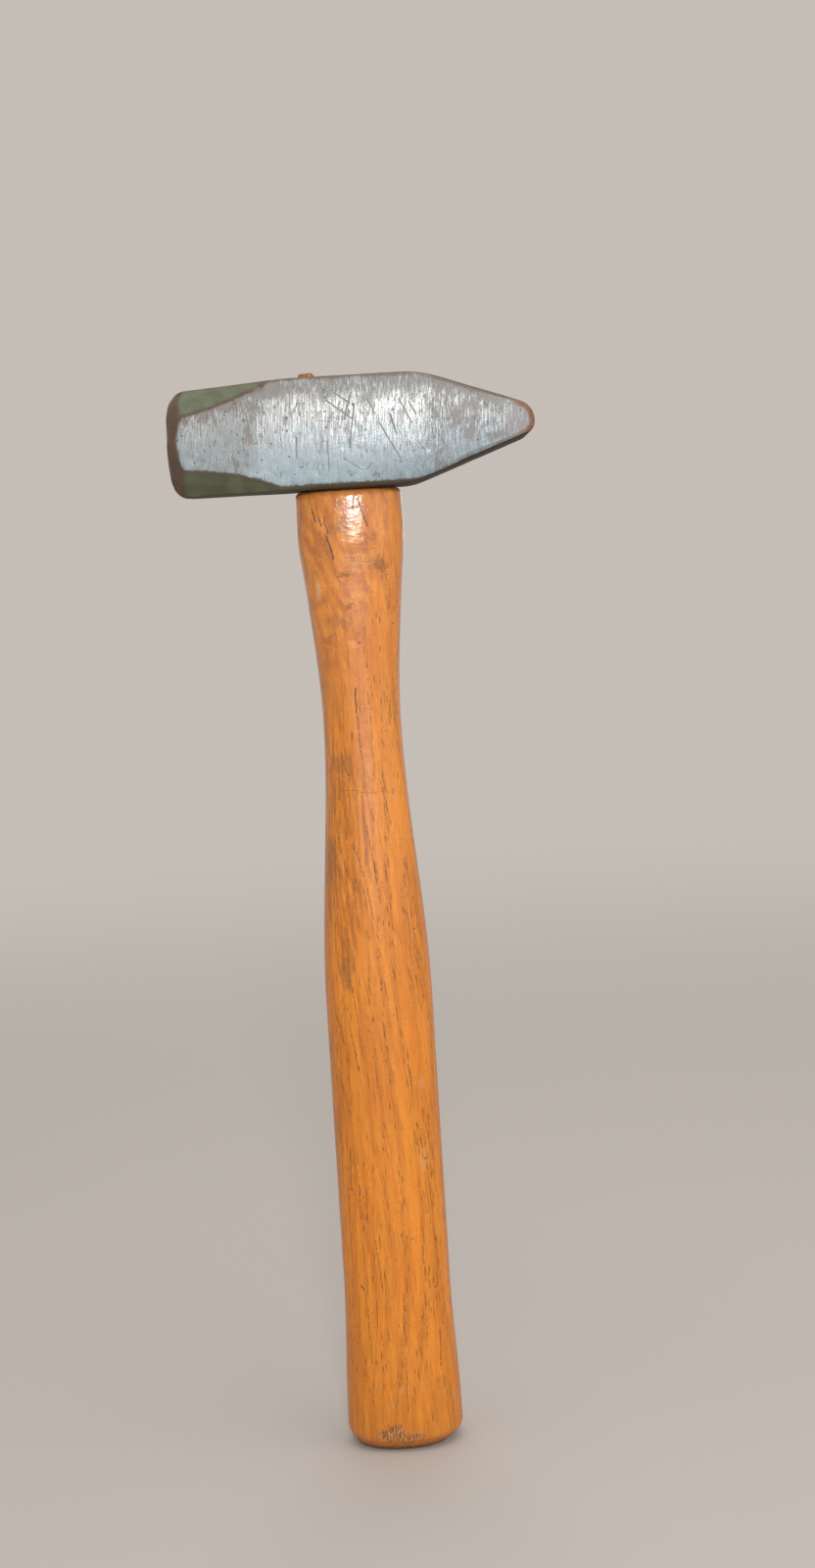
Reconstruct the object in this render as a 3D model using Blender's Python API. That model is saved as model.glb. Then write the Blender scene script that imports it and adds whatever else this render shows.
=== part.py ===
"""Cross-peen engineer's hammer: a forged steel head wedged on a hickory handle.

Metres. The handle stands along +Z, with the flat end of its butt on Z = 0 and the head on top. The
striking face looks along -X, the peen along +X, and the two cheeks along -Y and +Y.
"""

import math

import bmesh
import bpy

# Head, measured from the middle of its eye
HEAD_HEIGHT = 0.0383
HEAD_WIDTH = 0.0405
FACE_REACH = 0.0612
PEEN_REACH = 0.0657
EDGE_ROUND = 0.0018

# Striking end: an octagon whose corner chamfers run out towards the eye
FACE_DIAMETER = 0.0284
FACE_BEVEL_ANGLE = math.radians(50.0)
FACE_END_WIDTH = 0.0375
FACE_END_DROP = 0.0018
FACE_TAPER_LENGTH = 0.0320
TOP_CHAMFER = 0.0099
TOP_CHAMFER_LENGTH = 0.0360
TOP_CHAMFER_POWER = 1.35
BOTTOM_CHAMFER = 0.0090
BOTTOM_CHAMFER_LENGTH = 0.0440
BOTTOM_CHAMFER_POWER = 2.2

# Cross peen, whose nose is rounder above than below
PEEN_ANGLE = math.radians(20.0)
PEEN_BLEND = 0.0010
PEEN_END_WIDTH = 0.0388
PEEN_TAPER_LENGTH = 0.0400
PEEN_CORNER_ROUND = 0.0020
NOSE_TOP_RADIUS = 0.0073
NOSE_BOTTOM_RADIUS = 0.0052
NOSE_FLAT = 0.0006

# Eye: an oval that flares towards both ends
EYE_LENGTH = 0.0280
EYE_WIDTH = 0.0185
EYE_FLARE = 0.0012

# Handle, from the butt to the underside of the head
HANDLE_LENGTH = 0.3353
BUTT_WIDTH = 0.0407
BUTT_DEPTH = 0.0315
BUTT_ROUND = 0.0036
BUTT_FLARE_START = 0.0060
BUTT_FLARE_LENGTH = 0.0520
GRIP_WIDTH = 0.0367
GRIP_DEPTH = 0.0285
GRIP_LENGTH = 0.0985
NECK_WIDTH = 0.0267
NECK_DEPTH = 0.0228
NECK_DROP = 0.0807
SHOULDER_LEDGE = 0.0034
SHOULDER_LENGTH = 0.0040
SHOULDER_ROUND = 0.0028
SECTION_POWER = 2.3

# Tenon end, left proud of the head and sloping down towards the peen
PROUD_FACE_SIDE = 0.0027
PROUD_PEEN_SIDE = 0.0004

# Wedges
KERF_DEPTH = 0.0280
WOOD_WEDGE_TOP = 0.0050
WOOD_WEDGE_TIP = 0.0012
STEEL_WEDGE_TOP = 0.0030
STEEL_WEDGE_TIP = 0.0008
STEEL_WEDGE_INSET = 0.0075
STEEL_TIP_MARGIN = 0.0080
STEEL_SIDE_MARGIN = 0.0028
STEEL_RECESS = 0.0003
BARB = 0.00025
BARB_COUNT = 4

# Gap between pieces that touch
FIT_GAP = 0.0003
# How far a cutter runs past what it cuts
CUT_MARGIN = 0.0040

# Largest share of the head's half height that a corner may take
CORNER_LIMIT = 0.8

# Points round the lofted sections
FLAT_POINTS = 2
CORNER_POINTS = 6
OVAL_POINTS = 40
CONE_POINTS = 64
WEDGE_END_POINTS = 5

# Sections along each stretch of the lofts
CHAMFER_STEPS = 15
BODY_STEPS = 3
BLEND_STEPS = 12
SLOPE_STEPS = 4
NOSE_STEPS = 10
EYE_STEPS = 8
BUTT_STEPS = 5
SHAFT_STEPS = 34
SHOULDER_STEPS = 4
WEDGE_STEPS = 6

# Edges that turn by more than this are shaded sharp
SHARP_ANGLE = math.radians(30.0)

HEAD_MIDDLE = HANDLE_LENGTH + HEAD_HEIGHT / 2
HEAD_TOP = HANDLE_LENGTH + HEAD_HEIGHT
KERF_FLOOR = HEAD_TOP - KERF_DEPTH


def clear_scene():
    for item in list(bpy.data.objects):
        bpy.data.objects.remove(item, do_unlink=True)
    for group in list(bpy.data.collections):
        bpy.data.collections.remove(group)


def make_collection(name):
    group = bpy.data.collections.new(name)
    bpy.context.scene.collection.children.link(group)
    return group


def make_material(name, colour, roughness, metallic):
    material = bpy.data.materials.new(name)
    material.use_nodes = True
    shader = material.node_tree.nodes["Principled BSDF"]
    shader.inputs["Base Color"].default_value = (*colour, 1.0)
    shader.inputs["Roughness"].default_value = roughness
    shader.inputs["Metallic"].default_value = metallic
    return material


def make_object(name, data, group, material=None):
    item = bpy.data.objects.new(name, data)
    group.objects.link(item)
    if material is not None:
        data.materials.append(material)
    return item


def make_cutter(name, mesh, group):
    cutter = make_object(name, mesh, group)
    cutter.hide_render = True
    cutter.display_type = "WIRE"
    return cutter


def cut(item, cutter, operation="DIFFERENCE"):
    boolean = item.modifiers.new(cutter.name, "BOOLEAN")
    boolean.operation = operation
    boolean.solver = "EXACT"
    boolean.object = cutter


def spread(start, end, steps):
    """Evenly spaced values from start up to, but not including, end."""
    return [start + (end - start) * i / steps for i in range(steps)]


def smoothstep(share):
    share = min(max(share, 0.0), 1.0)
    return share * share * (3.0 - 2.0 * share)


def eased(place, knots):
    """Value at a place along (place, value) knots, level at each knot and smooth between them."""
    for (start, low), (end, high) in zip(knots, knots[1:]):
        if place <= end:
            return low + (high - low) * smoothstep((place - start) / (end - start))
    return knots[-1][1]


def soft_min(a, b, blend):
    """The smaller of two values, rounded off where they come within the blend of each other."""
    near = max(blend - abs(a - b), 0.0) / blend
    return min(a, b) - near * near * blend / 4


def oval(half_x, half_y):
    """Points round an oval that is a little squarer than an ellipse."""
    points = []
    for i in range(OVAL_POINTS):
        angle = math.tau * i / OVAL_POINTS
        c, s = math.cos(angle), math.sin(angle)
        x = half_x * math.copysign(abs(c) ** (2 / SECTION_POWER), c)
        y = half_y * math.copysign(abs(s) ** (2 / SECTION_POWER), s)
        points.append((x, y))
    return points


def oval_half_length(half_x, half_y, y):
    """Half length of an oval at y off its long axis."""
    return half_x * (1 - (abs(y) / half_y) ** SECTION_POWER) ** (1 / SECTION_POWER)


def loft(name, rings):
    """Mesh through closed rings of equal point count, with both ends capped."""
    work = bmesh.new()
    loops = [[work.verts.new(point) for point in ring] for ring in rings]
    for lower, upper in zip(loops, loops[1:]):
        for i in range(len(lower)):
            j = (i + 1) % len(lower)
            work.faces.new((lower[i], lower[j], upper[j], upper[i]))
    work.faces.new(loops[0])
    work.faces.new(loops[-1])
    bmesh.ops.recalc_face_normals(work, faces=work.faces)
    mesh = bpy.data.meshes.new(name)
    work.to_mesh(mesh)
    work.free()
    mesh.shade_smooth()
    mesh.set_sharp_from_angle(angle=SHARP_ANGLE)
    return mesh


def tapered_box(name, bottom, top, floor, ceiling):
    """Box from floor to ceiling, with half sizes (x, y) at its bottom and at its top."""
    work = bmesh.new()
    bmesh.ops.create_cube(work, size=2.0)
    for vert in work.verts:
        half_x, half_y = top if vert.co.z > 0 else bottom
        vert.co.x *= half_x
        vert.co.y *= half_y
        vert.co.z = ceiling if vert.co.z > 0 else floor
    mesh = bpy.data.meshes.new(name)
    work.to_mesh(mesh)
    work.free()
    return mesh


def face_share(x, length):
    """0 at the given length behind the striking face, 1 at the face."""
    return min(max((length - FACE_REACH - x) / length, 0.0), 1.0)


def peen_share(x):
    """0 where the peen's cheeks start to narrow, 1 at its tip."""
    return max((x - PEEN_REACH + PEEN_TAPER_LENGTH) / PEEN_TAPER_LENGTH, 0.0)


def peen_half_height(x, radius):
    """Half height of the peen: a straight slope that ends in a nose of the given radius."""
    centre = PEEN_REACH - radius
    if x <= centre + radius * math.sin(PEEN_ANGLE):
        return radius / math.cos(PEEN_ANGLE) + (centre - x) * math.tan(PEEN_ANGLE)
    return math.sqrt(max(radius ** 2 - (x - centre) ** 2, (NOSE_FLAT / 2) ** 2))


def peen_place(half_height, radius):
    """Where the straight slope behind a nose of the given radius has the given half height."""
    rise = half_height - radius / math.cos(PEEN_ANGLE)
    return PEEN_REACH - radius - rise / math.tan(PEEN_ANGLE)


def head_half_width(x):
    width = HEAD_WIDTH - (HEAD_WIDTH - FACE_END_WIDTH) * face_share(x, FACE_TAPER_LENGTH)
    width -= (HEAD_WIDTH - PEEN_END_WIDTH) * peen_share(x)
    into_corner = max(x - PEEN_REACH + PEEN_CORNER_ROUND, 0.0)
    corner = PEEN_CORNER_ROUND - math.sqrt(max(PEEN_CORNER_ROUND ** 2 - into_corner ** 2, 0.0))
    return width / 2 - corner


def head_top_and_bottom(x):
    top = HEAD_HEIGHT / 2 - FACE_END_DROP * face_share(x, BOTTOM_CHAMFER_LENGTH)
    bottom = HEAD_HEIGHT / 2
    peen_top = peen_half_height(x, NOSE_TOP_RADIUS)
    peen_bottom = peen_half_height(x, NOSE_BOTTOM_RADIUS)
    return soft_min(top, peen_top, PEEN_BLEND), -soft_min(bottom, peen_bottom, PEEN_BLEND)


def corner_quarter(half_width, half_height, chamfer, length, power, x):
    """Quarter of the head's section: half a cheek, a corner and half of the top or the bottom.

    The corner is a chamfer at the face, which shrinks over its length until only the rounded edge is left.
    """
    along = min(max((x + FACE_REACH) / length, 0.0), 1.0)
    chamfer_leg = chamfer * (1 - along ** power)
    leg = min(max(chamfer_leg, EDGE_ROUND), CORNER_LIMIT * half_height)
    flatness = smoothstep(chamfer_leg / EDGE_ROUND - 1)
    points = [(half_width, (half_height - leg) * i / (FLAT_POINTS + 1)) for i in range(FLAT_POINTS + 1)]
    for i in range(CORNER_POINTS):
        share = i / (CORNER_POINTS - 1)
        turn = share * math.pi / 2
        inset_y = flatness * share + (1 - flatness) * (1 - math.cos(turn))
        inset_z = flatness * (1 - share) + (1 - flatness) * (1 - math.sin(turn))
        points.append((half_width - leg * inset_y, half_height - leg * inset_z))
    for i in range(FLAT_POINTS + 1):
        points.append(((half_width - leg) * (FLAT_POINTS - i) / (FLAT_POINTS + 1), half_height))
    return points


def head_ring(x):
    """Section of the head at x."""
    half_width = head_half_width(x)
    top, bottom = head_top_and_bottom(x)
    middle = (top + bottom) / 2
    half_height = (top - bottom) / 2
    upper = corner_quarter(half_width, half_height, TOP_CHAMFER, TOP_CHAMFER_LENGTH, TOP_CHAMFER_POWER, x)
    lower = corner_quarter(
        half_width, half_height, BOTTOM_CHAMFER, BOTTOM_CHAMFER_LENGTH, BOTTOM_CHAMFER_POWER, x
    )
    section = upper + [(-y, z) for y, z in reversed(upper[:-1])]
    section += [(-y, -z) for y, z in lower[1:]]
    section += [(y, -z) for y, z in reversed(lower[1:-1])]
    return [(x, y, middle + z) for y, z in section]


def head_stations():
    """Where along X the head's sections are taken, closer together where its shape turns."""
    chamfer_end = max(TOP_CHAMFER_LENGTH, BOTTOM_CHAMFER_LENGTH) - FACE_REACH
    noses = (NOSE_TOP_RADIUS, NOSE_BOTTOM_RADIUS)
    blend_start = min(peen_place(HEAD_HEIGHT / 2 + PEEN_BLEND, radius) for radius in noses)
    blend_end = max(peen_place(HEAD_HEIGHT / 2 - PEEN_BLEND, radius) for radius in noses)
    nose_radius = max(noses)
    nose_middle = PEEN_REACH - nose_radius
    stations = [-FACE_REACH - CUT_MARGIN, *spread(-FACE_REACH, chamfer_end, CHAMFER_STEPS)]
    stations += spread(chamfer_end, blend_start, BODY_STEPS)
    stations += spread(blend_start, blend_end, BLEND_STEPS)
    stations += spread(blend_end, nose_middle + nose_radius * math.sin(PEEN_ANGLE), SLOPE_STEPS)
    turns = spread(PEEN_ANGLE, math.pi / 2, NOSE_STEPS)
    stations += [nose_middle + nose_radius * math.sin(turn) for turn in turns]
    stations.append(PEEN_REACH)
    return sorted(stations)


def eye_half(z):
    """Half length and half width of the eye at a height above the butt."""
    from_middle = (z - HEAD_MIDDLE) / (HEAD_HEIGHT / 2)
    flare = EYE_FLARE * min(from_middle ** 2, 1.0)
    return EYE_LENGTH / 2 + flare, EYE_WIDTH / 2 + flare


def tenon_half(z):
    half_x, half_y = eye_half(z)
    return half_x - FIT_GAP, half_y - FIT_GAP


def tenon_end(x):
    """Height of the sloping tenon end at x."""
    share = x / (EYE_LENGTH + 2 * EYE_FLARE) + 0.5
    return HEAD_TOP + PROUD_FACE_SIDE + (PROUD_PEEN_SIDE - PROUD_FACE_SIDE) * share


def make_face_cone(cutters):
    """Cone that squares off the striking face and bevels its rim, wide enough to hold the whole head."""
    length = FACE_REACH + PEEN_REACH + CUT_MARGIN
    face_radius = FACE_DIAMETER / 2
    work = bmesh.new()
    bmesh.ops.create_cone(
        work, cap_ends=True, segments=CONE_POINTS, depth=length,
        radius1=face_radius, radius2=face_radius + length * math.tan(FACE_BEVEL_ANGLE),
    )
    mesh = bpy.data.meshes.new("face_cone")
    work.to_mesh(mesh)
    work.free()
    cone = make_cutter("face_cone", mesh, cutters)
    cone.rotation_euler.y = math.pi / 2
    cone.location = (length / 2 - FACE_REACH, 0.0, HEAD_MIDDLE - FACE_END_DROP / 2)
    return cone


def make_head(group, cutters):
    steel = make_material("worn_painted_steel", (0.42, 0.47, 0.48), 0.45, 0.3)
    mesh = loft("hammer_head", [head_ring(x) for x in head_stations()])
    head = make_object("hammer_head", mesh, group, steel)
    head.location.z = HEAD_MIDDLE
    cut(head, make_face_cone(cutters), "INTERSECT")
    rings = []
    reach = HEAD_HEIGHT / 2
    heights = [-reach - CUT_MARGIN, *spread(-reach, reach, EYE_STEPS), reach, reach + CUT_MARGIN]
    for z in heights:
        rings.append([(x, y, z) for x, y in oval(*eye_half(HEAD_MIDDLE + z))])
    eye = make_cutter("eye_cutter", loft("eye_cutter", rings), cutters)
    eye.location.z = HEAD_MIDDLE
    cut(head, eye)
    return head


def handle_half(z):
    """Half width and half depth of the handle below the shoulder's rounded rim."""
    flare_end = BUTT_FLARE_START + BUTT_FLARE_LENGTH
    eye_length, eye_width = eye_half(HANDLE_LENGTH)
    shoulder = (eye_length + SHOULDER_LEDGE, eye_width + SHOULDER_LEDGE)
    butt = (BUTT_WIDTH / 2, BUTT_DEPTH / 2)
    grip = (GRIP_WIDTH / 2, GRIP_DEPTH / 2)
    neck = (NECK_WIDTH / 2, NECK_DEPTH / 2)
    places = [BUTT_FLARE_START, flare_end, flare_end + GRIP_LENGTH, HANDLE_LENGTH - NECK_DROP]
    places.append(HANDLE_LENGTH - SHOULDER_LENGTH)
    sizes = [butt, grip, grip, neck, shoulder]
    return [eased(z, [(place, size[i]) for place, size in zip(places, sizes)]) for i in range(2)]


def round_inset(depth, radius):
    """How far a rounded rim stands in, at a depth below the end that it rounds."""
    return radius - math.sqrt(max(radius ** 2 - (radius - depth) ** 2, 0.0))


def handle_rings():
    seat = HANDLE_LENGTH - FIT_GAP
    quarter = math.pi / 2
    rings = []
    for turn in spread(0.0, quarter, BUTT_STEPS):
        z = BUTT_ROUND * (1 - math.cos(turn))
        inset = round_inset(z, BUTT_ROUND)
        half_x, half_y = handle_half(z)
        rings.append([(x, y, z) for x, y in oval(half_x - inset, half_y - inset)])
    for z in spread(BUTT_ROUND, seat - SHOULDER_ROUND, SHAFT_STEPS):
        rings.append([(x, y, z) for x, y in oval(*handle_half(z))])
    for turn in [*spread(quarter, 0.0, SHOULDER_STEPS), 0.0]:
        depth = SHOULDER_ROUND * (1 - math.cos(turn))
        inset = round_inset(depth, SHOULDER_ROUND)
        half_x, half_y = handle_half(seat - depth)
        rings.append([(x, y, seat - depth) for x, y in oval(half_x - inset, half_y - inset)])
    for z in spread(seat, HEAD_TOP, EYE_STEPS):
        rings.append([(x, y, z) for x, y in oval(*tenon_half(z))])
    rings.append([(x, y, tenon_end(x)) for x, y in oval(*tenon_half(HEAD_TOP))])
    return rings


def wood_wedge_half(z):
    """Half thickness of the wooden wedge at a height above the butt."""
    share = (z - KERF_FLOOR) / KERF_DEPTH
    return (WOOD_WEDGE_TIP + (WOOD_WEDGE_TOP - WOOD_WEDGE_TIP) * share) / 2


def make_handle(group, cutters):
    hickory = make_material("lacquered_hickory", (0.60, 0.22, 0.05), 0.35, 0.0)
    handle = make_object("handle", loft("handle", handle_rings()), group, hickory)
    ceiling = HEAD_TOP + PROUD_FACE_SIDE + CUT_MARGIN
    reach = EYE_LENGTH / 2 + EYE_FLARE + SHOULDER_LEDGE + CUT_MARGIN
    bottom = (reach, wood_wedge_half(KERF_FLOOR) + FIT_GAP)
    top = (reach, wood_wedge_half(ceiling) + FIT_GAP)
    kerf = make_cutter("kerf_cutter", tapered_box("kerf_cutter", bottom, top, KERF_FLOOR, ceiling), cutters)
    cut(handle, kerf)
    return handle


def wood_wedge_ring(height):
    """Section of the wooden wedge: flat sides, with ends that follow the eye's oval."""
    ring = []
    for side in (1, -1):
        for i in range(WEDGE_END_POINTS):
            along = side * (2 * i / (WEDGE_END_POINTS - 1) - 1)
            z = height(side * EYE_LENGTH / 2)
            y = along * wood_wedge_half(z)
            half_x, half_y = tenon_half(min(z, HEAD_TOP))
            x = side * oval_half_length(half_x, half_y, y)
            ring.append((x, y, height(x)))
    return ring


def make_wood_wedge(group):
    maple = make_material("bare_wedge_wood", (0.50, 0.30, 0.14), 0.6, 0.0)
    tip = KERF_FLOOR + FIT_GAP
    rings = [wood_wedge_ring(lambda x, level=z: level) for z in spread(tip, HEAD_TOP, WEDGE_STEPS)]
    rings.append(wood_wedge_ring(tenon_end))
    return make_object("wood_wedge", loft("wood_wedge", rings), group, maple)


def steel_wedge_span(x):
    """Lowest and highest point of the steel wedge driven in at x."""
    return KERF_FLOOR + STEEL_TIP_MARGIN, tenon_end(x) - STEEL_RECESS


def steel_wedge_outline(floor, ceiling):
    """Tapered outline with barbs along both sides, as (thickness, height) points."""
    side = [(STEEL_WEDGE_TOP / 2, ceiling)]
    for i in range(1, BARB_COUNT + 1):
        share = i / (BARB_COUNT + 1)
        z = ceiling + (floor - ceiling) * share
        half = (STEEL_WEDGE_TOP + (STEEL_WEDGE_TIP - STEEL_WEDGE_TOP) * share) / 2
        side += [(half, z), (half + BARB, z)]
    side.append((STEEL_WEDGE_TIP / 2, floor))
    return side + [(-x, z) for x, z in reversed(side)]


def make_steel_wedge(name, x, group, material):
    curve = bpy.data.curves.new(name, "CURVE")
    curve.dimensions = "2D"
    curve.fill_mode = "BOTH"
    curve.extrude = EYE_WIDTH / 2 - STEEL_SIDE_MARGIN
    outline = steel_wedge_outline(*steel_wedge_span(x))
    spline = curve.splines.new("POLY")
    spline.points.add(len(outline) - 1)
    for point, (across, height) in zip(spline.points, outline):
        point.co = (across, height, 0.0, 1.0)
    spline.use_cyclic_u = True
    wedge = make_object(name, curve, group, material)
    wedge.location.x = x
    wedge.rotation_euler.x = math.pi / 2
    return wedge


def make_steel_wedge_cutter(name, x, cutters):
    """Slot that a steel wedge opens in the wood around it."""
    floor, ceiling = steel_wedge_span(x)
    half_y = EYE_WIDTH / 2 - STEEL_SIDE_MARGIN + FIT_GAP
    bottom = (STEEL_WEDGE_TIP / 2 + BARB + FIT_GAP, half_y)
    top = (STEEL_WEDGE_TOP / 2 + BARB + FIT_GAP, half_y)
    mesh = tapered_box(name, bottom, top, floor - FIT_GAP, ceiling + CUT_MARGIN)
    cutter = make_cutter(name, mesh, cutters)
    cutter.location.x = x
    return cutter


def build():
    clear_scene()
    group = make_collection("cross_peen_hammer")
    cutters = make_collection("cutters")
    make_head(group, cutters)
    handle = make_handle(group, cutters)
    wood_wedge = make_wood_wedge(group)
    steel = make_material("wedge_steel", (0.30, 0.27, 0.24), 0.5, 1.0)
    for side, word in ((-1, "face"), (1, "peen")):
        x = side * (EYE_LENGTH / 2 - STEEL_WEDGE_INSET)
        make_steel_wedge(f"steel_wedge_{word}_side", x, group, steel)
        slot = make_steel_wedge_cutter(f"steel_wedge_{word}_side_cutter", x, cutters)
        cut(handle, slot)
        cut(wood_wedge, slot)


build()
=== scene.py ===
import itertools
import math

import bmesh
import bpy
import numpy as np
from mathutils import Matrix, Vector


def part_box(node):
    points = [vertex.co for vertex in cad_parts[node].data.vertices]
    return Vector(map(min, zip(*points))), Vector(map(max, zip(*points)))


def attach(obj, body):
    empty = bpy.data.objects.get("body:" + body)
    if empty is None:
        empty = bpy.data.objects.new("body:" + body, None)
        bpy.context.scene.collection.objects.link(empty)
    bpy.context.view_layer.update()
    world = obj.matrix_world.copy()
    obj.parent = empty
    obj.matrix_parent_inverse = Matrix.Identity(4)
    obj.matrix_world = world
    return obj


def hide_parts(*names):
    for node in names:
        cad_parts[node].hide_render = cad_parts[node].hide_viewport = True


# Looks of the cross-peen hammer, in metres, in the frame of its solids: the handle along +Z, the striking
# face towards -X, the peen towards +X and the front cheek towards -Y.

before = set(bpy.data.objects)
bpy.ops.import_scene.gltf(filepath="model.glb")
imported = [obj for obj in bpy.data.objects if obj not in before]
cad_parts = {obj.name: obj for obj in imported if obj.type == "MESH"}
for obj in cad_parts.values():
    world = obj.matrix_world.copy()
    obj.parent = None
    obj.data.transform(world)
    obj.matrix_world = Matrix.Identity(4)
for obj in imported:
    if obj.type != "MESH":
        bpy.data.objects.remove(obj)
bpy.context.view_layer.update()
BODY = "root"
MM = 0.001

# Head: its box, and the middle, top, half sizes and reach along X that follow from it
HEAD_LOW, HEAD_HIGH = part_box("hammer_head")
HEAD_MIDDLE = (HEAD_LOW.z + HEAD_HIGH.z) / 2
HEAD_TOP = HEAD_HIGH.z
HALF_HEIGHT = (HEAD_HIGH.z - HEAD_LOW.z) / 2
HALF_WIDTH = HEAD_HIGH.y
FACE_REACH = -HEAD_LOW.x
PEEN_REACH = HEAD_HIGH.x

# Striking end
FACE_RADIUS = 0.0142
FACE_CROWN = 0.0004
FACE_BEVEL_ANGLE = math.radians(50.0)
FACE_END_HALF_WIDTH = 0.01875
FACE_END_DROP = 0.0018
FACE_TAPER_LENGTH = 0.0320
UPPER_CHAMFER = 0.0099
UPPER_CHAMFER_LENGTH = 0.0400
UPPER_CHAMFER_POWER = 1.6
LOWER_CHAMFER = 0.0090
LOWER_CHAMFER_LENGTH = 0.0440
LOWER_CHAMFER_POWER = 2.2
# Leg of the bevel that the lower chamfers run out into
BOTTOM_BEVEL = 0.0020

# Peen
PEEN_ANGLE = math.radians(20.0)
PEEN_END_HALF_WIDTH = 0.0194
PEEN_TAPER_LENGTH = 0.0400
UPPER_NOSE_RADIUS = 0.0073
LOWER_NOSE_RADIUS = 0.0052
NOSE_END = 0.00002

# Rise of the cheeks towards their middle
CHEEK_CROWN = 0.0010
CHEEK_CROWN_POWER = 2.4

# Rounding of the head's edges, as the reach of the blend between two surfaces
TOP_BLEND = 0.0015
BOTTOM_BLEND = 0.0024
PEEN_BLEND = 0.0017
CHAMFER_BLEND = 0.0006
RIM_BLEND = 0.0012
EDGE_BLENDS = {
    "top": TOP_BLEND,
    "bottom": BOTTOM_BLEND,
    "peen": PEEN_BLEND,
    "upper_chamfer": CHAMFER_BLEND,
    "lower_chamfer": CHAMFER_BLEND,
    "bevel": RIM_BLEND,
    "face": RIM_BLEND,
}
EDGE_WEAR = 0.45
EDGE_WEAR_PATCH = 0.011

# Eye
EYE_HALF_LENGTH = 0.0140
EYE_HALF_WIDTH = 0.00925
EYE_FLARE = 0.0012
EYE_LIP = 0.0005
SECTION_POWER = 2.3

# Points of the head's mesh
CHEEK_POINTS = 26
CORNER_POINTS = 18
TOP_POINTS = 25
FAN_DEPTH = 0.0090
FAN_START = FAN_DEPTH - FACE_REACH
HEAD_STEP = 0.00046
NOSE_STEPS = 20
EYE_RINGS = 17
EYE_COLUMNS = 120
# The most of a section's half height that a corner takes up
CORNER_SHARE = 0.8
# How far along a ray its surface is looked for, in rough lengths of the ray, and in how many halvings
RAY_REACH = 1.5
RAY_HALVINGS = 26
NORMAL_STEP = 0.00005

# Unevenness of the head, as (size, depth)
HEAD_UNEVEN = ((0.009, 0.00003), (0.0024, 0.000018))
# Dents of the head: count, radius and depth
FACE_DENTS = (45, 0.0016, 0.00018)
RIM_DENTS = (45, 0.0012, 0.00040)
CHEEK_DENTS = (70, 0.0008, 0.00009)
EDGE_DENTS = (60, 0.0010, 0.00028)
# How close a point is to count as on the face or a cheek, or as near a surface, the rim or an edge
ON_FACE = 0.0003
ON_CHEEK = 0.0001
NEAR_SURFACE = 0.001
NEAR_RIM = 0.0008
NEAR_EDGE = 0.0006
# How far from the edges the dents in the cheeks keep
CLEAR_OF_EDGES = 0.002
# Widths and depths of single dents, as shares of their group's
DENT_WIDTHS = (0.5, 1.5)
DENT_DEPTHS = (0.3, 1.0)

# Seeds of the random draws. Layers of noise and groups of dents count on from theirs.
EDGE_WEAR_SEED = 1
HEAD_UNEVEN_SEED = 2
HEAD_DENTS_SEED = 4
HANDLE_UNEVEN_SEED = 21
HANDLE_DENTS_SEED = 23
FRAY_SEED = 27
TENON_END_SEED = 28
WOOD_WEDGE_SEED = 31
STEEL_WEDGE_SEED = 33

# How far a cutter reaches past what it cuts
CUT_BEYOND = 0.004
SHARP_ANGLE = math.radians(40.0)
NOISE_CELLS = 32


def noise(points, size, seed):
    """Smooth noise from -1 to 1, with features of the given size, one number or one for each axis."""
    lattice = np.random.default_rng(seed).uniform(-1.0, 1.0, (NOISE_CELLS,) * 3)
    place = np.asarray(points) / size
    cell = np.floor(place).astype(int)
    part = place - cell
    part = part * part * (3 - 2 * part)
    total = 0.0
    for corner in itertools.product((0, 1), repeat=3):
        weight = np.where(corner, part, 1 - part).prod(axis=-1)
        i, j, k = np.moveaxis((cell + corner) % NOISE_CELLS, -1, 0)
        total = total + weight * lattice[i, j, k]
    return total


def smoothstep(value, low, high):
    share = np.clip((value - low) / (high - low), 0.0, 1.0)
    return share * share * (3 - 2 * share)


def smooth_max(a, b, reach):
    """The larger of two values, rounded off where they come within reach of each other."""
    near = np.clip(reach - np.abs(a - b), 0.0, None) / reach
    return np.maximum(a, b) + near * near * reach / 4


def ring_faces(rows, columns):
    """Quads between the neighbouring rings of a grid whose rings close on themselves."""
    index = np.arange(rows * columns).reshape(rows, columns)
    after = np.roll(index, -1, axis=1)
    return np.stack([index[:-1], after[:-1], after[1:], index[1:]], axis=-1).reshape(-1, 4).tolist()


def make_mesh(name, points, faces):
    """Mesh with its faces pointing out."""
    mesh = bpy.data.meshes.new(name)
    mesh.from_pydata(np.asarray(points).tolist(), [], faces)
    work = bmesh.new()
    work.from_mesh(mesh)
    bmesh.ops.recalc_face_normals(work, faces=work.faces)
    work.to_mesh(mesh)
    work.free()
    return mesh


def make_piece(name, mesh):
    piece = bpy.data.objects.new(name, mesh)
    bpy.context.scene.collection.objects.link(piece)
    return piece


def cut(piece, *meshes):
    """Cuts closed meshes out of a piece."""
    cutters = [make_piece("cutter", mesh) for mesh in meshes]
    for cutter in cutters:
        boolean = piece.modifiers.new(cutter.name, "BOOLEAN")
        boolean.operation = "DIFFERENCE"
        boolean.solver = "MANIFOLD"
        boolean.object = cutter
    shown = piece.evaluated_get(bpy.context.evaluated_depsgraph_get())
    piece.data = bpy.data.meshes.new_from_object(shown)
    piece.modifiers.clear()
    for cutter in cutters:
        bpy.data.objects.remove(cutter, do_unlink=True)


def vertices(mesh):
    flat = np.empty(len(mesh.vertices) * 3, np.float32)
    mesh.vertices.foreach_get("co", flat)
    return flat.reshape(-1, 3).astype(float)


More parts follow.
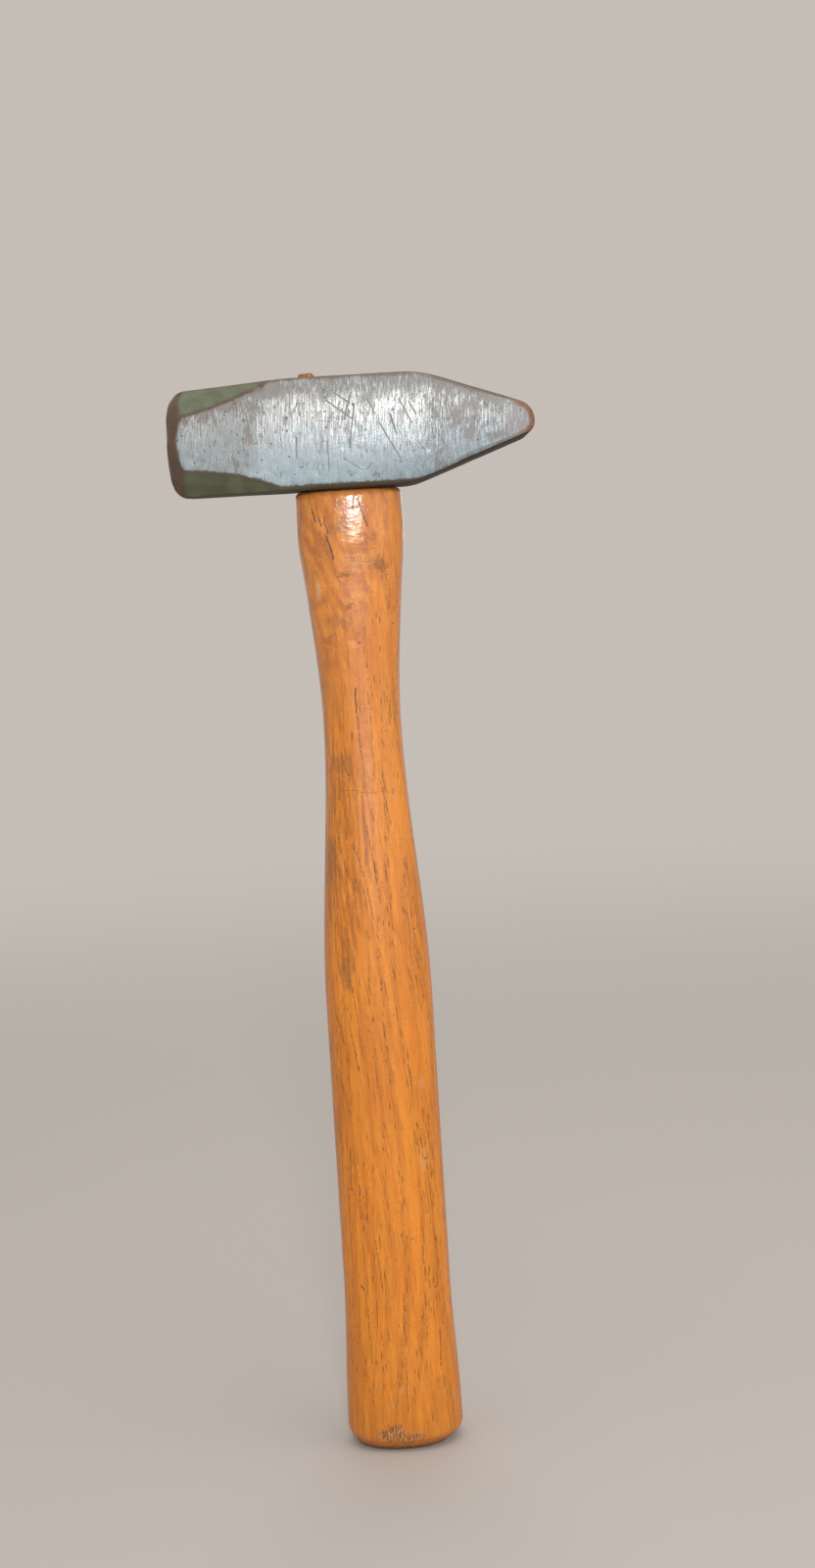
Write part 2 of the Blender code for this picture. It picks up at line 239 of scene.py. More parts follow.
def keep_values(mesh, **columns):
    """Stores numbers on the mesh's points, for the materials to read."""
    for name, values in columns.items():
        attribute = mesh.attributes.new(name, "FLOAT", "POINT")
        attribute.data.foreach_set("value", np.asarray(values, np.float32))


def dress(piece, node, material):
    """Puts a finished piece in the place of a solid."""
    piece.data.shade_smooth()
    piece.data.set_sharp_from_angle(angle=SHARP_ANGLE)
    piece.data.materials.clear()
    piece.data.materials.append(material)
    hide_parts(node)
    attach(piece, BODY)


def oval(half_x, half_y, count):
    """Points round an oval that is a little squarer than an ellipse, with one row for each size."""
    angle = np.arange(count) * math.tau / count
    c, s = np.cos(angle), np.sin(angle)
    x = np.outer(half_x, np.sign(c) * np.abs(c) ** (2 / SECTION_POWER))
    y = np.outer(half_y, np.sign(s) * np.abs(s) ** (2 / SECTION_POWER))
    return x, y


# Head


def face_share(x, length):
    """0 at the given length behind the striking face, 1 at the face."""
    return np.clip((length - FACE_REACH - x) / length, 0.0, 1.0)


def head_sizes(x):
    """Half width, top, and the legs of the upper and lower chamfers at x."""
    peen_share = np.clip((x - PEEN_REACH) / PEEN_TAPER_LENGTH + 1, 0.0, 1.0)
    half_width = HALF_WIDTH - (HALF_WIDTH - FACE_END_HALF_WIDTH) * face_share(x, FACE_TAPER_LENGTH)
    half_width = half_width - (HALF_WIDTH - PEEN_END_HALF_WIDTH) * peen_share
    top = HALF_HEIGHT - FACE_END_DROP * face_share(x, LOWER_CHAMFER_LENGTH)
    upper = UPPER_CHAMFER * (1 - (1 - face_share(x, UPPER_CHAMFER_LENGTH)) ** UPPER_CHAMFER_POWER)
    lower = LOWER_CHAMFER * (1 - (1 - face_share(x, LOWER_CHAMFER_LENGTH)) ** LOWER_CHAMFER_POWER)
    return half_width, top, upper, np.maximum(lower, BOTTOM_BEVEL)


def peen_half_height(x, radius):
    """Half height of the peen, along a straight slope that ends in a nose of the given radius."""
    centre = PEEN_REACH - radius
    slope = radius / math.cos(PEEN_ANGLE) + (centre - x) * math.tan(PEEN_ANGLE)
    nose = np.sqrt(np.clip(radius ** 2 - (x - centre) ** 2, 0.0, None))
    return np.where(x <= centre + radius * math.sin(PEEN_ANGLE), slope, nose)


def cheek_drop(z):
    """How far a cheek lies behind its middle at a height."""
    return CHEEK_CROWN * np.abs(z / HALF_HEIGHT) ** CHEEK_CROWN_POWER


def head_surfaces(points):
    """How far points, taken from the middle of the eye, lie outside each surface of the head."""
    x, y, z = np.moveaxis(points, -1, 0)
    half_width, top, upper, lower = head_sizes(x)
    middle = (top - HALF_HEIGHT) / 2
    corner = np.abs(y) - half_width - (top + HALF_HEIGHT) / 2
    radius = np.hypot(y, z + FACE_END_DROP / 2)
    bevel = radius - FACE_RADIUS - (x + FACE_REACH) * math.tan(FACE_BEVEL_ANGLE)
    nose = np.where(z > 0, UPPER_NOSE_RADIUS, LOWER_NOSE_RADIUS)
    from_nose = x - PEEN_REACH + nose
    along = from_nose * math.cos(PEEN_ANGLE) - np.abs(z) * math.sin(PEEN_ANGLE)
    out = from_nose * math.sin(PEEN_ANGLE) + np.abs(z) * math.cos(PEEN_ANGLE)
    return {
        "cheek": np.abs(y) - half_width + cheek_drop(z),
        "top": z - top,
        "bottom": -HALF_HEIGHT - z,
        "peen": np.where(along > 0, np.hypot(from_nose, z), out) - nose,
        "upper_chamfer": (corner + z - middle + upper) / math.sqrt(2),
        "lower_chamfer": (corner - z + middle + lower) / math.sqrt(2),
        "bevel": bevel * math.cos(FACE_BEVEL_ANGLE),
        "face": FACE_CROWN * (radius / FACE_RADIUS) ** 2 - FACE_REACH - x,
    }


def head_field(points, wear):
    """How far points lie outside the head, whose edges are rounded by wear."""
    surfaces = head_surfaces(points)
    field = surfaces["cheek"]
    for name, reach in EDGE_BLENDS.items():
        field = smooth_max(field, surfaces[name], reach * wear)
    return field


def section_quarter(half_width, half_height, leg):
    """Points up a cheek, over the corner and in along the top, with one row for each station."""
    half_width, half_height, leg = (v[:, None] for v in (half_width, half_height, leg))
    up = np.linspace(0.0, 1.0, CHEEK_POINTS, endpoint=False)
    up = (up + np.sin(up * math.pi / 2)) / 2
    over = np.linspace(0.0, 1.0, CORNER_POINTS, endpoint=False)
    over = over / 4 + smoothstep(over, 0.0, 1.0) * 3 / 4
    along = np.linspace(0.0, 1.0, TOP_POINTS)
    along = (along + along ** 2) / 2
    drop = cheek_drop(half_height - leg)
    side = half_width - drop
    corner = half_height - leg + drop
    y = [side + 0 * up, side - (leg - drop) * over, (half_width - leg) * (1 - along)]
    z = [corner * up, corner + (leg - drop) * over, half_height + 0 * along]
    return np.concatenate(y, axis=1), np.concatenate(z, axis=1)


def head_sections(x):
    """Sharp-edged sections of the head, as y and z with one row for each station, and their middles."""
    half_width, top, upper, lower = head_sizes(x)
    top = np.minimum(top, peen_half_height(x, UPPER_NOSE_RADIUS))
    bottom = -np.minimum(HALF_HEIGHT, peen_half_height(x, LOWER_NOSE_RADIUS))
    middle, half_height = (top + bottom) / 2, (top - bottom) / 2
    blend = max(TOP_BLEND, BOTTOM_BLEND)
    legs = [np.minimum(np.maximum(leg, blend), CORNER_SHARE * half_height) for leg in (upper, lower)]
    (y_up, z_up), (y_low, z_low) = (section_quarter(half_width, half_height, leg) for leg in legs)
    y = [y_up, -y_up[:, -2::-1], -y_low[:, 1:], y_low[:, -2:0:-1]]
    z = [z_up, z_up[:, -2::-1], -z_low[:, 1:], -z_low[:, -2:0:-1]]
    return np.concatenate(y, axis=1), np.concatenate(z, axis=1) + middle[:, None], middle


def head_stations():
    """Where along X the head's rings lie, between the fan over the face and the tip of the nose."""
    radius = max(UPPER_NOSE_RADIUS, LOWER_NOSE_RADIUS)
    nose = PEEN_REACH - radius
    end = nose + radius * math.sin(PEEN_ANGLE)
    body = np.arange(FAN_START, end, HEAD_STEP)
    turns = np.linspace(PEEN_ANGLE, math.pi / 2, NOSE_STEPS)
    round_nose = np.minimum(nose + radius * np.sin(turns), PEEN_REACH - NOSE_END)
    return np.concatenate([body, round_nose])


def face_profile():
    """Points from the side of the striking end over its rim to the middle of the face, as (x, radius)."""
    rim = (FACE_END_HALF_WIDTH - FACE_RADIUS) / math.tan(FACE_BEVEL_ANGLE) - FACE_REACH
    corners = [(FAN_START, FACE_END_HALF_WIDTH), (rim, FACE_END_HALF_WIDTH)]
    corners += [(-FACE_REACH, FACE_RADIUS), (-FACE_REACH, 0.0)]
    points = []
    for (x0, r0), (x1, r1) in zip(corners, corners[1:]):
        steps = round(math.hypot(x1 - x0, r1 - r0) / HEAD_STEP)
        share = np.arange(1, steps + 1) / steps
        points += zip(x0 + (x1 - x0) * share, r0 + (r1 - r0) * share)
    return points[:-1]


def head_rays():
    """Rays from the middle of the head to its surface: origins, directions and rough ends, as rings."""
    x = head_stations()
    y, z, middle = head_sections(x)
    origins = np.zeros((*y.shape, 3))
    origins[..., 0] = x[:, None]
    origins[..., 2] = middle[:, None]
    ends = np.stack([np.broadcast_to(x[:, None], y.shape), y, z], axis=-1)
    fan_origin = np.array([x[0], 0.0, -FACE_END_DROP / 2])
    sides = ends[0] - fan_origin
    sides[:, 0] = 0.0
    sides /= np.linalg.norm(sides, axis=1)[:, None]
    fan = [fan_origin + sides * r + (place - x[0], 0.0, 0.0) for place, r in reversed(face_profile())]
    origins = np.concatenate([np.broadcast_to(fan_origin, (len(fan), *sides.shape)), origins])
    return origins, np.concatenate([fan, ends])


def head_points():
    """Points of the head's surface, as rings from the face to the nose, and the wear of its edges there."""
    origins, ends = head_rays()
    wear = 1 + EDGE_WEAR * noise(ends, EDGE_WEAR_PATCH, EDGE_WEAR_SEED)
    low, high = np.zeros(wear.shape), np.full(wear.shape, RAY_REACH)
    for _ in range(RAY_HALVINGS):
        share = (low + high) / 2
        inside = head_field(origins + (ends - origins) * share[..., None], wear) < 0
        low, high = np.where(inside, share, low), np.where(inside, high, share)
    return origins + (ends - origins) * low[..., None], wear


def head_normals(points, wear):
    steps = NORMAL_STEP * np.eye(3)
    rises = [head_field(points + step, wear) - head_field(points - step, wear) for step in steps]
    normals = np.stack(rises, axis=-1)
    return normals / np.linalg.norm(normals, axis=-1)[..., None]


def edge_distance(points):
    """How far points of the head's surface lie from its nearest edge."""
    order = np.sort(np.stack(list(head_surfaces(points).values())), axis=0)
    return order[-1] - order[-2]


def uneven(points, layers, seed):
    """Depth of an uneven surface, in layers of noise given as (size, depth)."""
    return sum(depth * (1 + noise(points, size, seed + i)) for i, (size, depth) in enumerate(layers))


def dented(points, groups, seed):
    """Depth of round dents at points picked from masks, in groups of (mask, count, radius, depth)."""
    total = np.zeros(points.shape[:-1])
    for i, (mask, count, radius, depth) in enumerate(groups):
        found = points[mask]
        picked = np.random.default_rng(seed + 2 * i).choice(len(found), count, replace=False)
        rng = np.random.default_rng(seed + 2 * i + 1)
        for place in found[picked]:
            wide = radius * rng.uniform(*DENT_WIDTHS)
            deep = depth * rng.uniform(*DENT_DEPTHS)
            far = ((points - place) ** 2).sum(axis=-1) / wide ** 2
            total += deep * np.exp(-far)
    return total


def weathered_head():
    """Points of the head, uneven and dented, as rings."""
    points, wear = head_points()
    surfaces = head_surfaces(points)
    cheek = surfaces["cheek"]
    edge = edge_distance(points)
    groups = [
        (surfaces["face"] > -ON_FACE, *FACE_DENTS),
        ((edge < NEAR_RIM) & (surfaces["bevel"] > -NEAR_SURFACE), *RIM_DENTS),
        ((cheek > -ON_CHEEK) & (edge > CLEAR_OF_EDGES), *CHEEK_DENTS),
        ((edge < NEAR_EDGE) & (cheek > -NEAR_SURFACE), *EDGE_DENTS),
    ]
    depth = uneven(points, HEAD_UNEVEN, HEAD_UNEVEN_SEED) + dented(points, groups, HEAD_DENTS_SEED)
    return points - head_normals(points, wear) * depth[..., None]


def eye_half(z):
    """Half length and half width of the eye at a height."""
    flare = EYE_FLARE * np.minimum(((z - HEAD_MIDDLE) / HALF_HEIGHT) ** 2, 1.0)
    return EYE_HALF_LENGTH + flare, EYE_HALF_WIDTH + flare


def eye_cutter():
    """The eye as a closed mesh, a little wider at its two lips."""
    inner = np.linspace(HEAD_LOW.z + EYE_LIP, HEAD_HIGH.z - EYE_LIP, EYE_RINGS)
    z = np.array([HEAD_LOW.z - CUT_BEYOND, HEAD_LOW.z, *inner, HEAD_HIGH.z, HEAD_HIGH.z + CUT_BEYOND])
    half_x, half_y = eye_half(z)
    lip = np.where((z < inner[0]) | (z > inner[-1]), EYE_LIP, 0.0)
    x, y = oval(half_x + lip, half_y + lip, EYE_COLUMNS)
    points = np.stack([x, y, np.broadcast_to(z[:, None], x.shape)], axis=-1)
    ends = np.arange(x.size).reshape(x.shape)[[0, -1]]
    return make_mesh("eye_cutter", points.reshape(-1, 3), ring_faces(*x.shape) + ends.tolist())


def head_mesh():
    """The head before its eye is cut: rings, a fan over the face and strips across the nose's tip."""
    rings = weathered_head()
    rings[..., 2] += HEAD_MIDDLE
    rows, columns = rings.shape[:2]
    points = np.concatenate([rings.reshape(-1, 3), rings[0].mean(axis=0)[None]])
    faces = ring_faces(rows, columns)
    faces += [[i, (i + 1) % columns, rows * columns] for i in range(columns)]
    last = (rows - 1) * columns
    for i in range(columns // 2):
        strip = (i, i + 1, (columns - i - 1) % columns, (columns - i) % columns)
        faces.append([last + k for k in dict.fromkeys(strip)])
    return make_mesh("head", points, faces)


def make_head(material):
    head = make_piece("head", head_mesh())
    cut(head, eye_cutter())
    where = vertices(head.data) - (0.0, 0.0, HEAD_MIDDLE)
    surfaces = {name: value / MM for name, value in head_surfaces(where).items()}
    chamfer = np.maximum(surfaces["upper_chamfer"], surfaces["lower_chamfer"])
    rim = np.maximum(surfaces["bevel"], surfaces["face"])
    flank = np.maximum(np.maximum(surfaces["top"], surfaces["bottom"]), surfaces["peen"])
    others = np.maximum(surfaces["cheek"], flank)
    keep_values(
        head.data,
        chamfer=chamfer - np.maximum(others, rim),
        rim=rim - np.maximum(others, chamfer),
        face=surfaces["face"] - surfaces["bevel"],
        flank=flank - surfaces["cheek"],
        edge=edge_distance(where) / MM,
    )
    dress(head, "hammer_head", material)


# Handle

_, HANDLE_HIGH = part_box("handle")
FIT_GAP = 0.0003
SEAT = HEAD_LOW.z - FIT_GAP
BUTT = (HANDLE_HIGH.x, HANDLE_HIGH.y)
# Chamfer round the butt, as (inset, height) from its flat end up
BUTT_EDGE = (
    (0.0043, 0.0), (0.0034, 0.0002), (0.0028, 0.0006), (0.0006, 0.0036), (0.0002, 0.0043), (0.0, 0.0052)
)
# How much taller that chamfer is on the face side, and the height at which this ends
BUTT_LEAN = 0.17
BUTT_LEAN_TOP = 0.0180
# How much narrower the butt's end is on the peen side
BUTT_SQUEEZE = 0.12
BUTT_SQUEEZE_TOP = 0.0075
BUTT_FLARE_START = 0.0060
BUTT_FLARE_LENGTH = 0.0520
GRIP = (0.01880, 0.01425)
GRIP_LENGTH = 0.0985
NECK = (0.01370, 0.0114)
NECK_DROP = 0.0807
SHOULDER_LEDGE = 0.0034
SHOULDER_LENGTH = 0.0040
SHOULDER_ROUND = 0.0024
SHOULDER_SLOPE = 0.0009
SHOULDER_SLOPE_LENGTH = 0.0190
SHOULDER_SLOPE_POWER = 1.3
SHOULDER_BULGE = 0.0006
SHOULDER_BULGE_DROP = 0.0170
SHOULDER_BULGE_SPREAD = 0.0085

# Tenon end: a lip on the face side, then a low slope towards the peen
LIP_PROUD = 0.0023
LIP_START = -0.0084
LIP_END = -0.0102
SLOPE_PROUD = 0.0010
SLOPE_END_PROUD = 0.0004

# Wedges
KERF_DEPTH = 0.0280
KERF_FLOOR = HEAD_TOP - KERF_DEPTH
KERF_HALF_LENGTH = 0.03
WOOD_WEDGE_TOP = 0.0050
WOOD_WEDGE_TIP = 0.0012
STEEL_WEDGE_TOP = 0.0030
STEEL_WEDGE_TIP = 0.0008
STEEL_WEDGE_PLACE = 0.0065
STEEL_WEDGE_RISE = 0.0080
STEEL_WEDGE_FLOOR = KERF_FLOOR + STEEL_WEDGE_RISE
STEEL_WEDGE_HALF_WIDTH = 0.00645
WOOD_RECESS = 0.0001
STEEL_RECESS = 0.0003
BARB = 0.00025
BARB_COUNT = 4
# Where barbs begin and end, as shares of the height
BARB_ENDS = (0.1, 0.9)
WEDGE_SIDES = {"face": -1, "peen": 1}

# Wear of the handle: unevenness as (size, depth), and dents as count, radius and depth
HANDLE_UNEVEN = (((0.014, 0.014, 0.05), 0.00007), ((0.0025, 0.0025, 0.03), 0.00003))
HANDLE_DENTS = (50, 0.0012, 0.00016)
NECK_DENTS = (26, 0.0013, 0.00028)
NECK_DENTS_START = 0.29
# How far the dents keep from the butt's end and from the shoulder's, and where the wear fades out there
DENT_MARGINS = (0.004, 0.003)
WEAR_FADE = 0.002
# Frayed spot on the butt's front: its middle, its spread and its fibres
FRAY_X = -0.0048
FRAY_Z = 0.0068
FRAY_SPREAD_X = 0.0062
FRAY_SPREAD_Z = 0.0030
FRAY_FIBRES = (((0.0008, 0.0008, 0.0018), 0.00040),)
# Rough ends of the tenon and the wedges
TENON_END_UNEVEN = ((0.0011, 0.00012),)
TENON_END_FADE = (0.0002, 0.0004)
WOOD_WEDGE_UNEVEN = ((0.0009, 0.00015),)
STEEL_WEDGE_UNEVEN = ((0.0013, 0.00010),)
STEEL_RIM_DROP = 0.00018
STEEL_RIM_POWER = 8

# Points of the handle's mesh
HANDLE_COLUMNS = 200
HANDLE_STEP = 0.0009
ROUND_STEPS = 8
CAP_STEPS = 16
# Faces of the wedges along each axis
WOOD_WEDGE_FACES = (72, 10, 16)
STEEL_WEDGE_FACES = (10, 36, 50)


def eased(place, knots):
    """Values along (place, value) knots, level at each knot and smooth between them."""
    value = np.full(np.shape(place), knots[0][1])
    for (start, low), (end, high) in zip(knots, knots[1:]):
        value = value + (high - low) * smoothstep(place, start, end)
    return value


def handle_half(z):
    """Half width and half depth of the handle below the shoulder's rounded rim."""
    flare_end = BUTT_FLARE_START + BUTT_FLARE_LENGTH
    eye_x, eye_y = eye_half(HEAD_LOW.z)
    shoulder = (eye_x + SHOULDER_LEDGE, eye_y + SHOULDER_LEDGE)
    places = [BUTT_FLARE_START, flare_end, flare_end + GRIP_LENGTH, HEAD_LOW.z - NECK_DROP]
    places.append(HEAD_LOW.z - SHOULDER_LENGTH)
    sizes = [BUTT, GRIP, GRIP, NECK, shoulder]
    half_x, half_y = (eased(z, [(place, size[i]) for place, size in zip(places, sizes)]) for i in range(2))
    bulge = SHOULDER_BULGE * np.exp(-((z - SEAT + SHOULDER_BULGE_DROP) / SHOULDER_BULGE_SPREAD) ** 2)
    slope = np.clip((z - SEAT) / SHOULDER_SLOPE_LENGTH + 1, 0.0, 1.0)
    return half_x + bulge, half_y - SHOULDER_SLOPE * slope ** SHOULDER_SLOPE_POWER


def tenon_half(z):
    half_x, half_y = eye_half(z)
    return half_x - FIT_GAP, half_y - FIT_GAP


def tenon_end(x):
    """Height of the tenon's end at x."""
    share = x / (2 * (EYE_HALF_LENGTH + EYE_FLARE)) + 0.5
    slope = SLOPE_PROUD + (SLOPE_END_PROUD - SLOPE_PROUD) * share
    return HEAD_TOP + slope + (LIP_PROUD - slope) * smoothstep(-x, -LIP_START, -LIP_END)


def handle_profile():
    """Half sizes and heights of the handle's rings, from the butt's flat end to the top of the eye."""
    turn = np.linspace(0.0, math.pi / 2, ROUND_STEPS)
    inset = 1 - np.sin(turn[::-1])
    drop = 1 - np.cos(turn[::-1])
    butt_inset, butt_z = np.array(BUTT_EDGE).T
    shaft = np.arange(butt_z[-1], SEAT - SHOULDER_ROUND, HANDLE_STEP)[1:]
    z = np.concatenate([butt_z, shaft, SEAT - SHOULDER_ROUND * drop])
    rim = np.concatenate([butt_inset, 0 * shaft, SHOULDER_ROUND * inset])
    half_x, half_y = handle_half(z)
    tenon = np.linspace(SEAT, HEAD_TOP, 2 * ROUND_STEPS)
    tenon_x, tenon_y = tenon_half(tenon)
    z = np.concatenate([z, tenon])
    return np.concatenate([half_x - rim, tenon_x]), np.concatenate([half_y - rim, tenon_y]), z


def capped(rings):
    """Rings with both ends closed by rings that shrink to a point, as points and faces."""
    share = np.arange(1, CAP_STEPS)[:, None, None] / CAP_STEPS
    ends = []
    for ring in (rings[0], rings[-1]):
        middle = ring.mean(axis=0)
        ends.append(middle + (ring - middle) * share)
    stack = np.concatenate([ends[0], rings, ends[1][::-1]])
    rows, columns = stack.shape[:2]
    points = np.concatenate([stack.reshape(-1, 3), [stack[0].mean(axis=0), stack[-1].mean(axis=0)]])
    faces = ring_faces(rows, columns)
    for row, middle in ((0, rows * columns), (rows - 1, rows * columns + 1)):
        first = row * columns
        faces += [[first + i, first + (i + 1) % columns, middle] for i in range(columns)]
    return points, faces


def weathered_handle(points):
    """Hand-worn unevenness, dents, the frayed spot on the butt and the rough tenon end."""
    x, y, z = points.T
    angle = np.arctan2(y, x)
    out = np.stack([np.cos(angle), np.sin(angle), 0 * angle], axis=-1)
    outside = (z > DENT_MARGINS[0]) & (z < SEAT - DENT_MARGINS[1])
    groups = [(outside, *HANDLE_DENTS), (outside & (z > NECK_DENTS_START), *NECK_DENTS)]
    depth = uneven(points, HANDLE_UNEVEN, HANDLE_UNEVEN_SEED) + dented(points, groups, HANDLE_DENTS_SEED)
    frayed = np.exp(-((x - FRAY_X) / FRAY_SPREAD_X) ** 2 - ((z - FRAY_Z) / FRAY_SPREAD_Z) ** 2) * (y < 0)
    depth = depth + frayed * uneven(points, FRAY_FIBRES, FRAY_SEED)
    fade = smoothstep(z, SEAT, SEAT - WEAR_FADE) * smoothstep(z, 0.0, WEAR_FADE)
    points = points - out * (depth * fade)[:, None]
    end = smoothstep(z - HEAD_TOP, *TENON_END_FADE)
    points[:, 2] -= end * uneven(points, TENON_END_UNEVEN, TENON_END_SEED)
    return points


def block(counts, shape):
    """Closed mesh of a block with the given number of faces along each axis, bent by a shape function.

    The function takes places from -1 to 1 along X and Y and from 0 to 1 along Z, and gives points.
    """
    found, faces = {}, []
    for axis in range(3):
        i, j = [a for a in range(3) if a != axis]
        for end in (0, counts[axis]):
            for a, b in itertools.product(range(counts[i]), range(counts[j])):
                face = []
                for da, db in ((0, 0), (1, 0), (1, 1), (0, 1)):
                    key = [0, 0, 0]
                    key[axis], key[i], key[j] = end, a + da, b + db
                    face.append(found.setdefault(tuple(key), len(found)))
                faces.append(face)
    share = np.array(list(found)) / counts
    return shape(2 * share[:, 0] - 1, 2 * share[:, 1] - 1, share[:, 2]), faces


def wood_wedge_half(z):
    share = (z - KERF_FLOOR) / (HEAD_TOP - KERF_FLOOR)
    return (WOOD_WEDGE_TIP + (WOOD_WEDGE_TOP - WOOD_WEDGE_TIP) * share) / 2


def kerf_cutter():
    def shape(u, v, w):
        z = KERF_FLOOR + w * (HANDLE_HIGH.z + CUT_BEYOND - KERF_FLOOR)
        return np.stack([u * KERF_HALF_LENGTH, v * (wood_wedge_half(z) + FIT_GAP), z], axis=-1)

    return make_mesh("kerf_cutter", *block((1, 1, 1), shape))


def steel_wedge_half(share):
    """Half thickness of a steel wedge without its barbs, at a share of its height."""
    return (STEEL_WEDGE_TIP + (STEEL_WEDGE_TOP - STEEL_WEDGE_TIP) * share) / 2


def slot_cutter(side):
    def shape(u, v, w):
        x = side * STEEL_WEDGE_PLACE + u * (steel_wedge_half(w) + BARB + FIT_GAP)
        z = STEEL_WEDGE_FLOOR - FIT_GAP + w * (HANDLE_HIGH.z + CUT_BEYOND - STEEL_WEDGE_FLOOR)
        return np.stack([x, v * (STEEL_WEDGE_HALF_WIDTH + FIT_GAP), z], axis=-1)

    return make_mesh("slot_cutter", *block((1, 1, 1), shape))


def make_handle(material):
    half_x, half_y, z = handle_profile()
    x, y = oval(half_x, half_y, HANDLE_COLUMNS)
    lean = BUTT_LEAN * (1 - smoothstep(z, BUTT_EDGE[-1][1], BUTT_LEAN_TOP))
    squeeze = BUTT_SQUEEZE * (1 - smoothstep(z, 0.0, BUTT_SQUEEZE_TOP))
    x = x * np.where(x > 0, 1 - squeeze[:, None], 1.0)
    rings = np.stack([x, y, z[:, None] * (1 - lean[:, None] * x / BUTT[0])], axis=-1)
    lip = np.repeat(rings[-1:], ROUND_STEPS, axis=0)
    rise = np.linspace(0.0, 1.0, ROUND_STEPS + 1)[1:, None]
    lip[..., 2] += (tenon_end(lip[..., 0]) - HEAD_TOP) * rise
    points, faces = capped(np.concatenate([rings, lip]))
    top = points[:, 2] > HEAD_TOP + SLOPE_END_PROUD / 2
    on_end = top & (np.arange(len(points)) >= len(points) - 2 - (CAP_STEPS - 1) * HANDLE_COLUMNS)
    points[on_end, 2] = tenon_end(points[on_end, 0])
    handle = make_piece("hickory_handle", make_mesh("hickory_handle", weathered_handle(points), faces))
    cut(handle, kerf_cutter(), *map(slot_cutter, WEDGE_SIDES.values()))
    dress(handle, "handle", material)


def make_wood_wedge(material):
    tip = KERF_FLOOR + FIT_GAP

    def rise(x, share):
        return tip + share * (tenon_end(x) - WOOD_RECESS - tip)

    def shape(u, v, w):
        z = rise(u * EYE_HALF_LENGTH, w)
        y = v * wood_wedge_half(z)
        half_x, half_y = tenon_half(np.minimum(z, HEAD_TOP))
        x = u * half_x * (1 - (np.abs(y) / half_y) ** SECTION_POWER) ** (1 / SECTION_POWER)
        points = np.stack([x, y, rise(x, w)], axis=-1)
        points[:, 2] -= (w == 1) * uneven(points, WOOD_WEDGE_UNEVEN, WOOD_WEDGE_SEED)
        return points

    wedge = make_piece("maple_wedge", make_mesh("maple_wedge", *block(WOOD_WEDGE_FACES, shape)))
    cut(wedge, *map(slot_cutter, WEDGE_SIDES.values()))
    dress(wedge, "wood_wedge", material)


def make_steel_wedge(side, word, material):
    place = side * STEEL_WEDGE_PLACE

    def shape(u, v, w):
        step = w * (BARB_COUNT + 1)
        barb = BARB * np.clip(1 - 2 * (step % 1), 0.0, 1.0) * (w > BARB_ENDS[0]) * (w < BARB_ENDS[1])
        z = STEEL_WEDGE_FLOOR + w * (tenon_end(place) - STEEL_RECESS - STEEL_WEDGE_FLOOR)
        x = place + u * (steel_wedge_half(w) + barb)
        points = np.stack([x, v * STEEL_WEDGE_HALF_WIDTH, z], axis=-1)
        rim = STEEL_RIM_DROP * np.maximum(np.abs(u), np.abs(v)) ** STEEL_RIM_POWER
        points[:, 2] -= (w == 1) * (uneven(points, STEEL_WEDGE_UNEVEN, STEEL_WEDGE_SEED) + rim)
        return points

    name = f"barbed_wedge_{word}_side"
    wedge = make_piece(name, make_mesh(name, *block(STEEL_WEDGE_FACES, shape)))
    dress(wedge, f"steel_wedge_{word}_side", material)


# Materials

# The most by which rows of marks and pores slide past each other, in lengths of a mark
CELL_SLIDE = 9.0
# Where marks and pores end and where they are full, in lengths from their middle
MARK_FADE = (0.5, 0.2)
PORE_FADE = (0.5, 0.38)


class Nodes:
    """A node tree, with short calls for the nodes used here."""

    def __init__(self, tree):
        self.tree = tree

    def add(self, kind, **settings):
        node = self.tree.nodes.new("ShaderNode" + kind)
        for name, value in settings.items():
            setattr(node, name, value)
        return node

    def feed(self, socket, value):
        if isinstance(value, bpy.types.NodeSocket):
            self.tree.links.new(value, socket)
        else:
            socket.default_value = value

    def call(self, node, *values, inputs=None, output=0):
        """Feeds a node's inputs, the first ones unless others are named, and gives one output."""
        for place, value in zip(inputs or range(len(values)), values):
            self.feed(node.inputs[place], value)
        return node.outputs[output]

    def number(self, operation, *values):
        return self.call(self.add("Math", operation=operation), *values)

    def vector(self, operation, *values, **options):
        return self.call(self.add("VectorMath", operation=operation), *values, **options)

    def most(self, first, *others):
        for other in others:
            first = self.number("MAXIMUM", first, other)
        return first

    def seen(self):
        """1 where a ray comes from the camera, a mirror or glass, so that these see the plain backdrop."""
        rays = self.add("LightPath").outputs
        return self.most(rays["Is Camera Ray"], rays["Is Glossy Ray"], rays["Is Transmission Ray"])


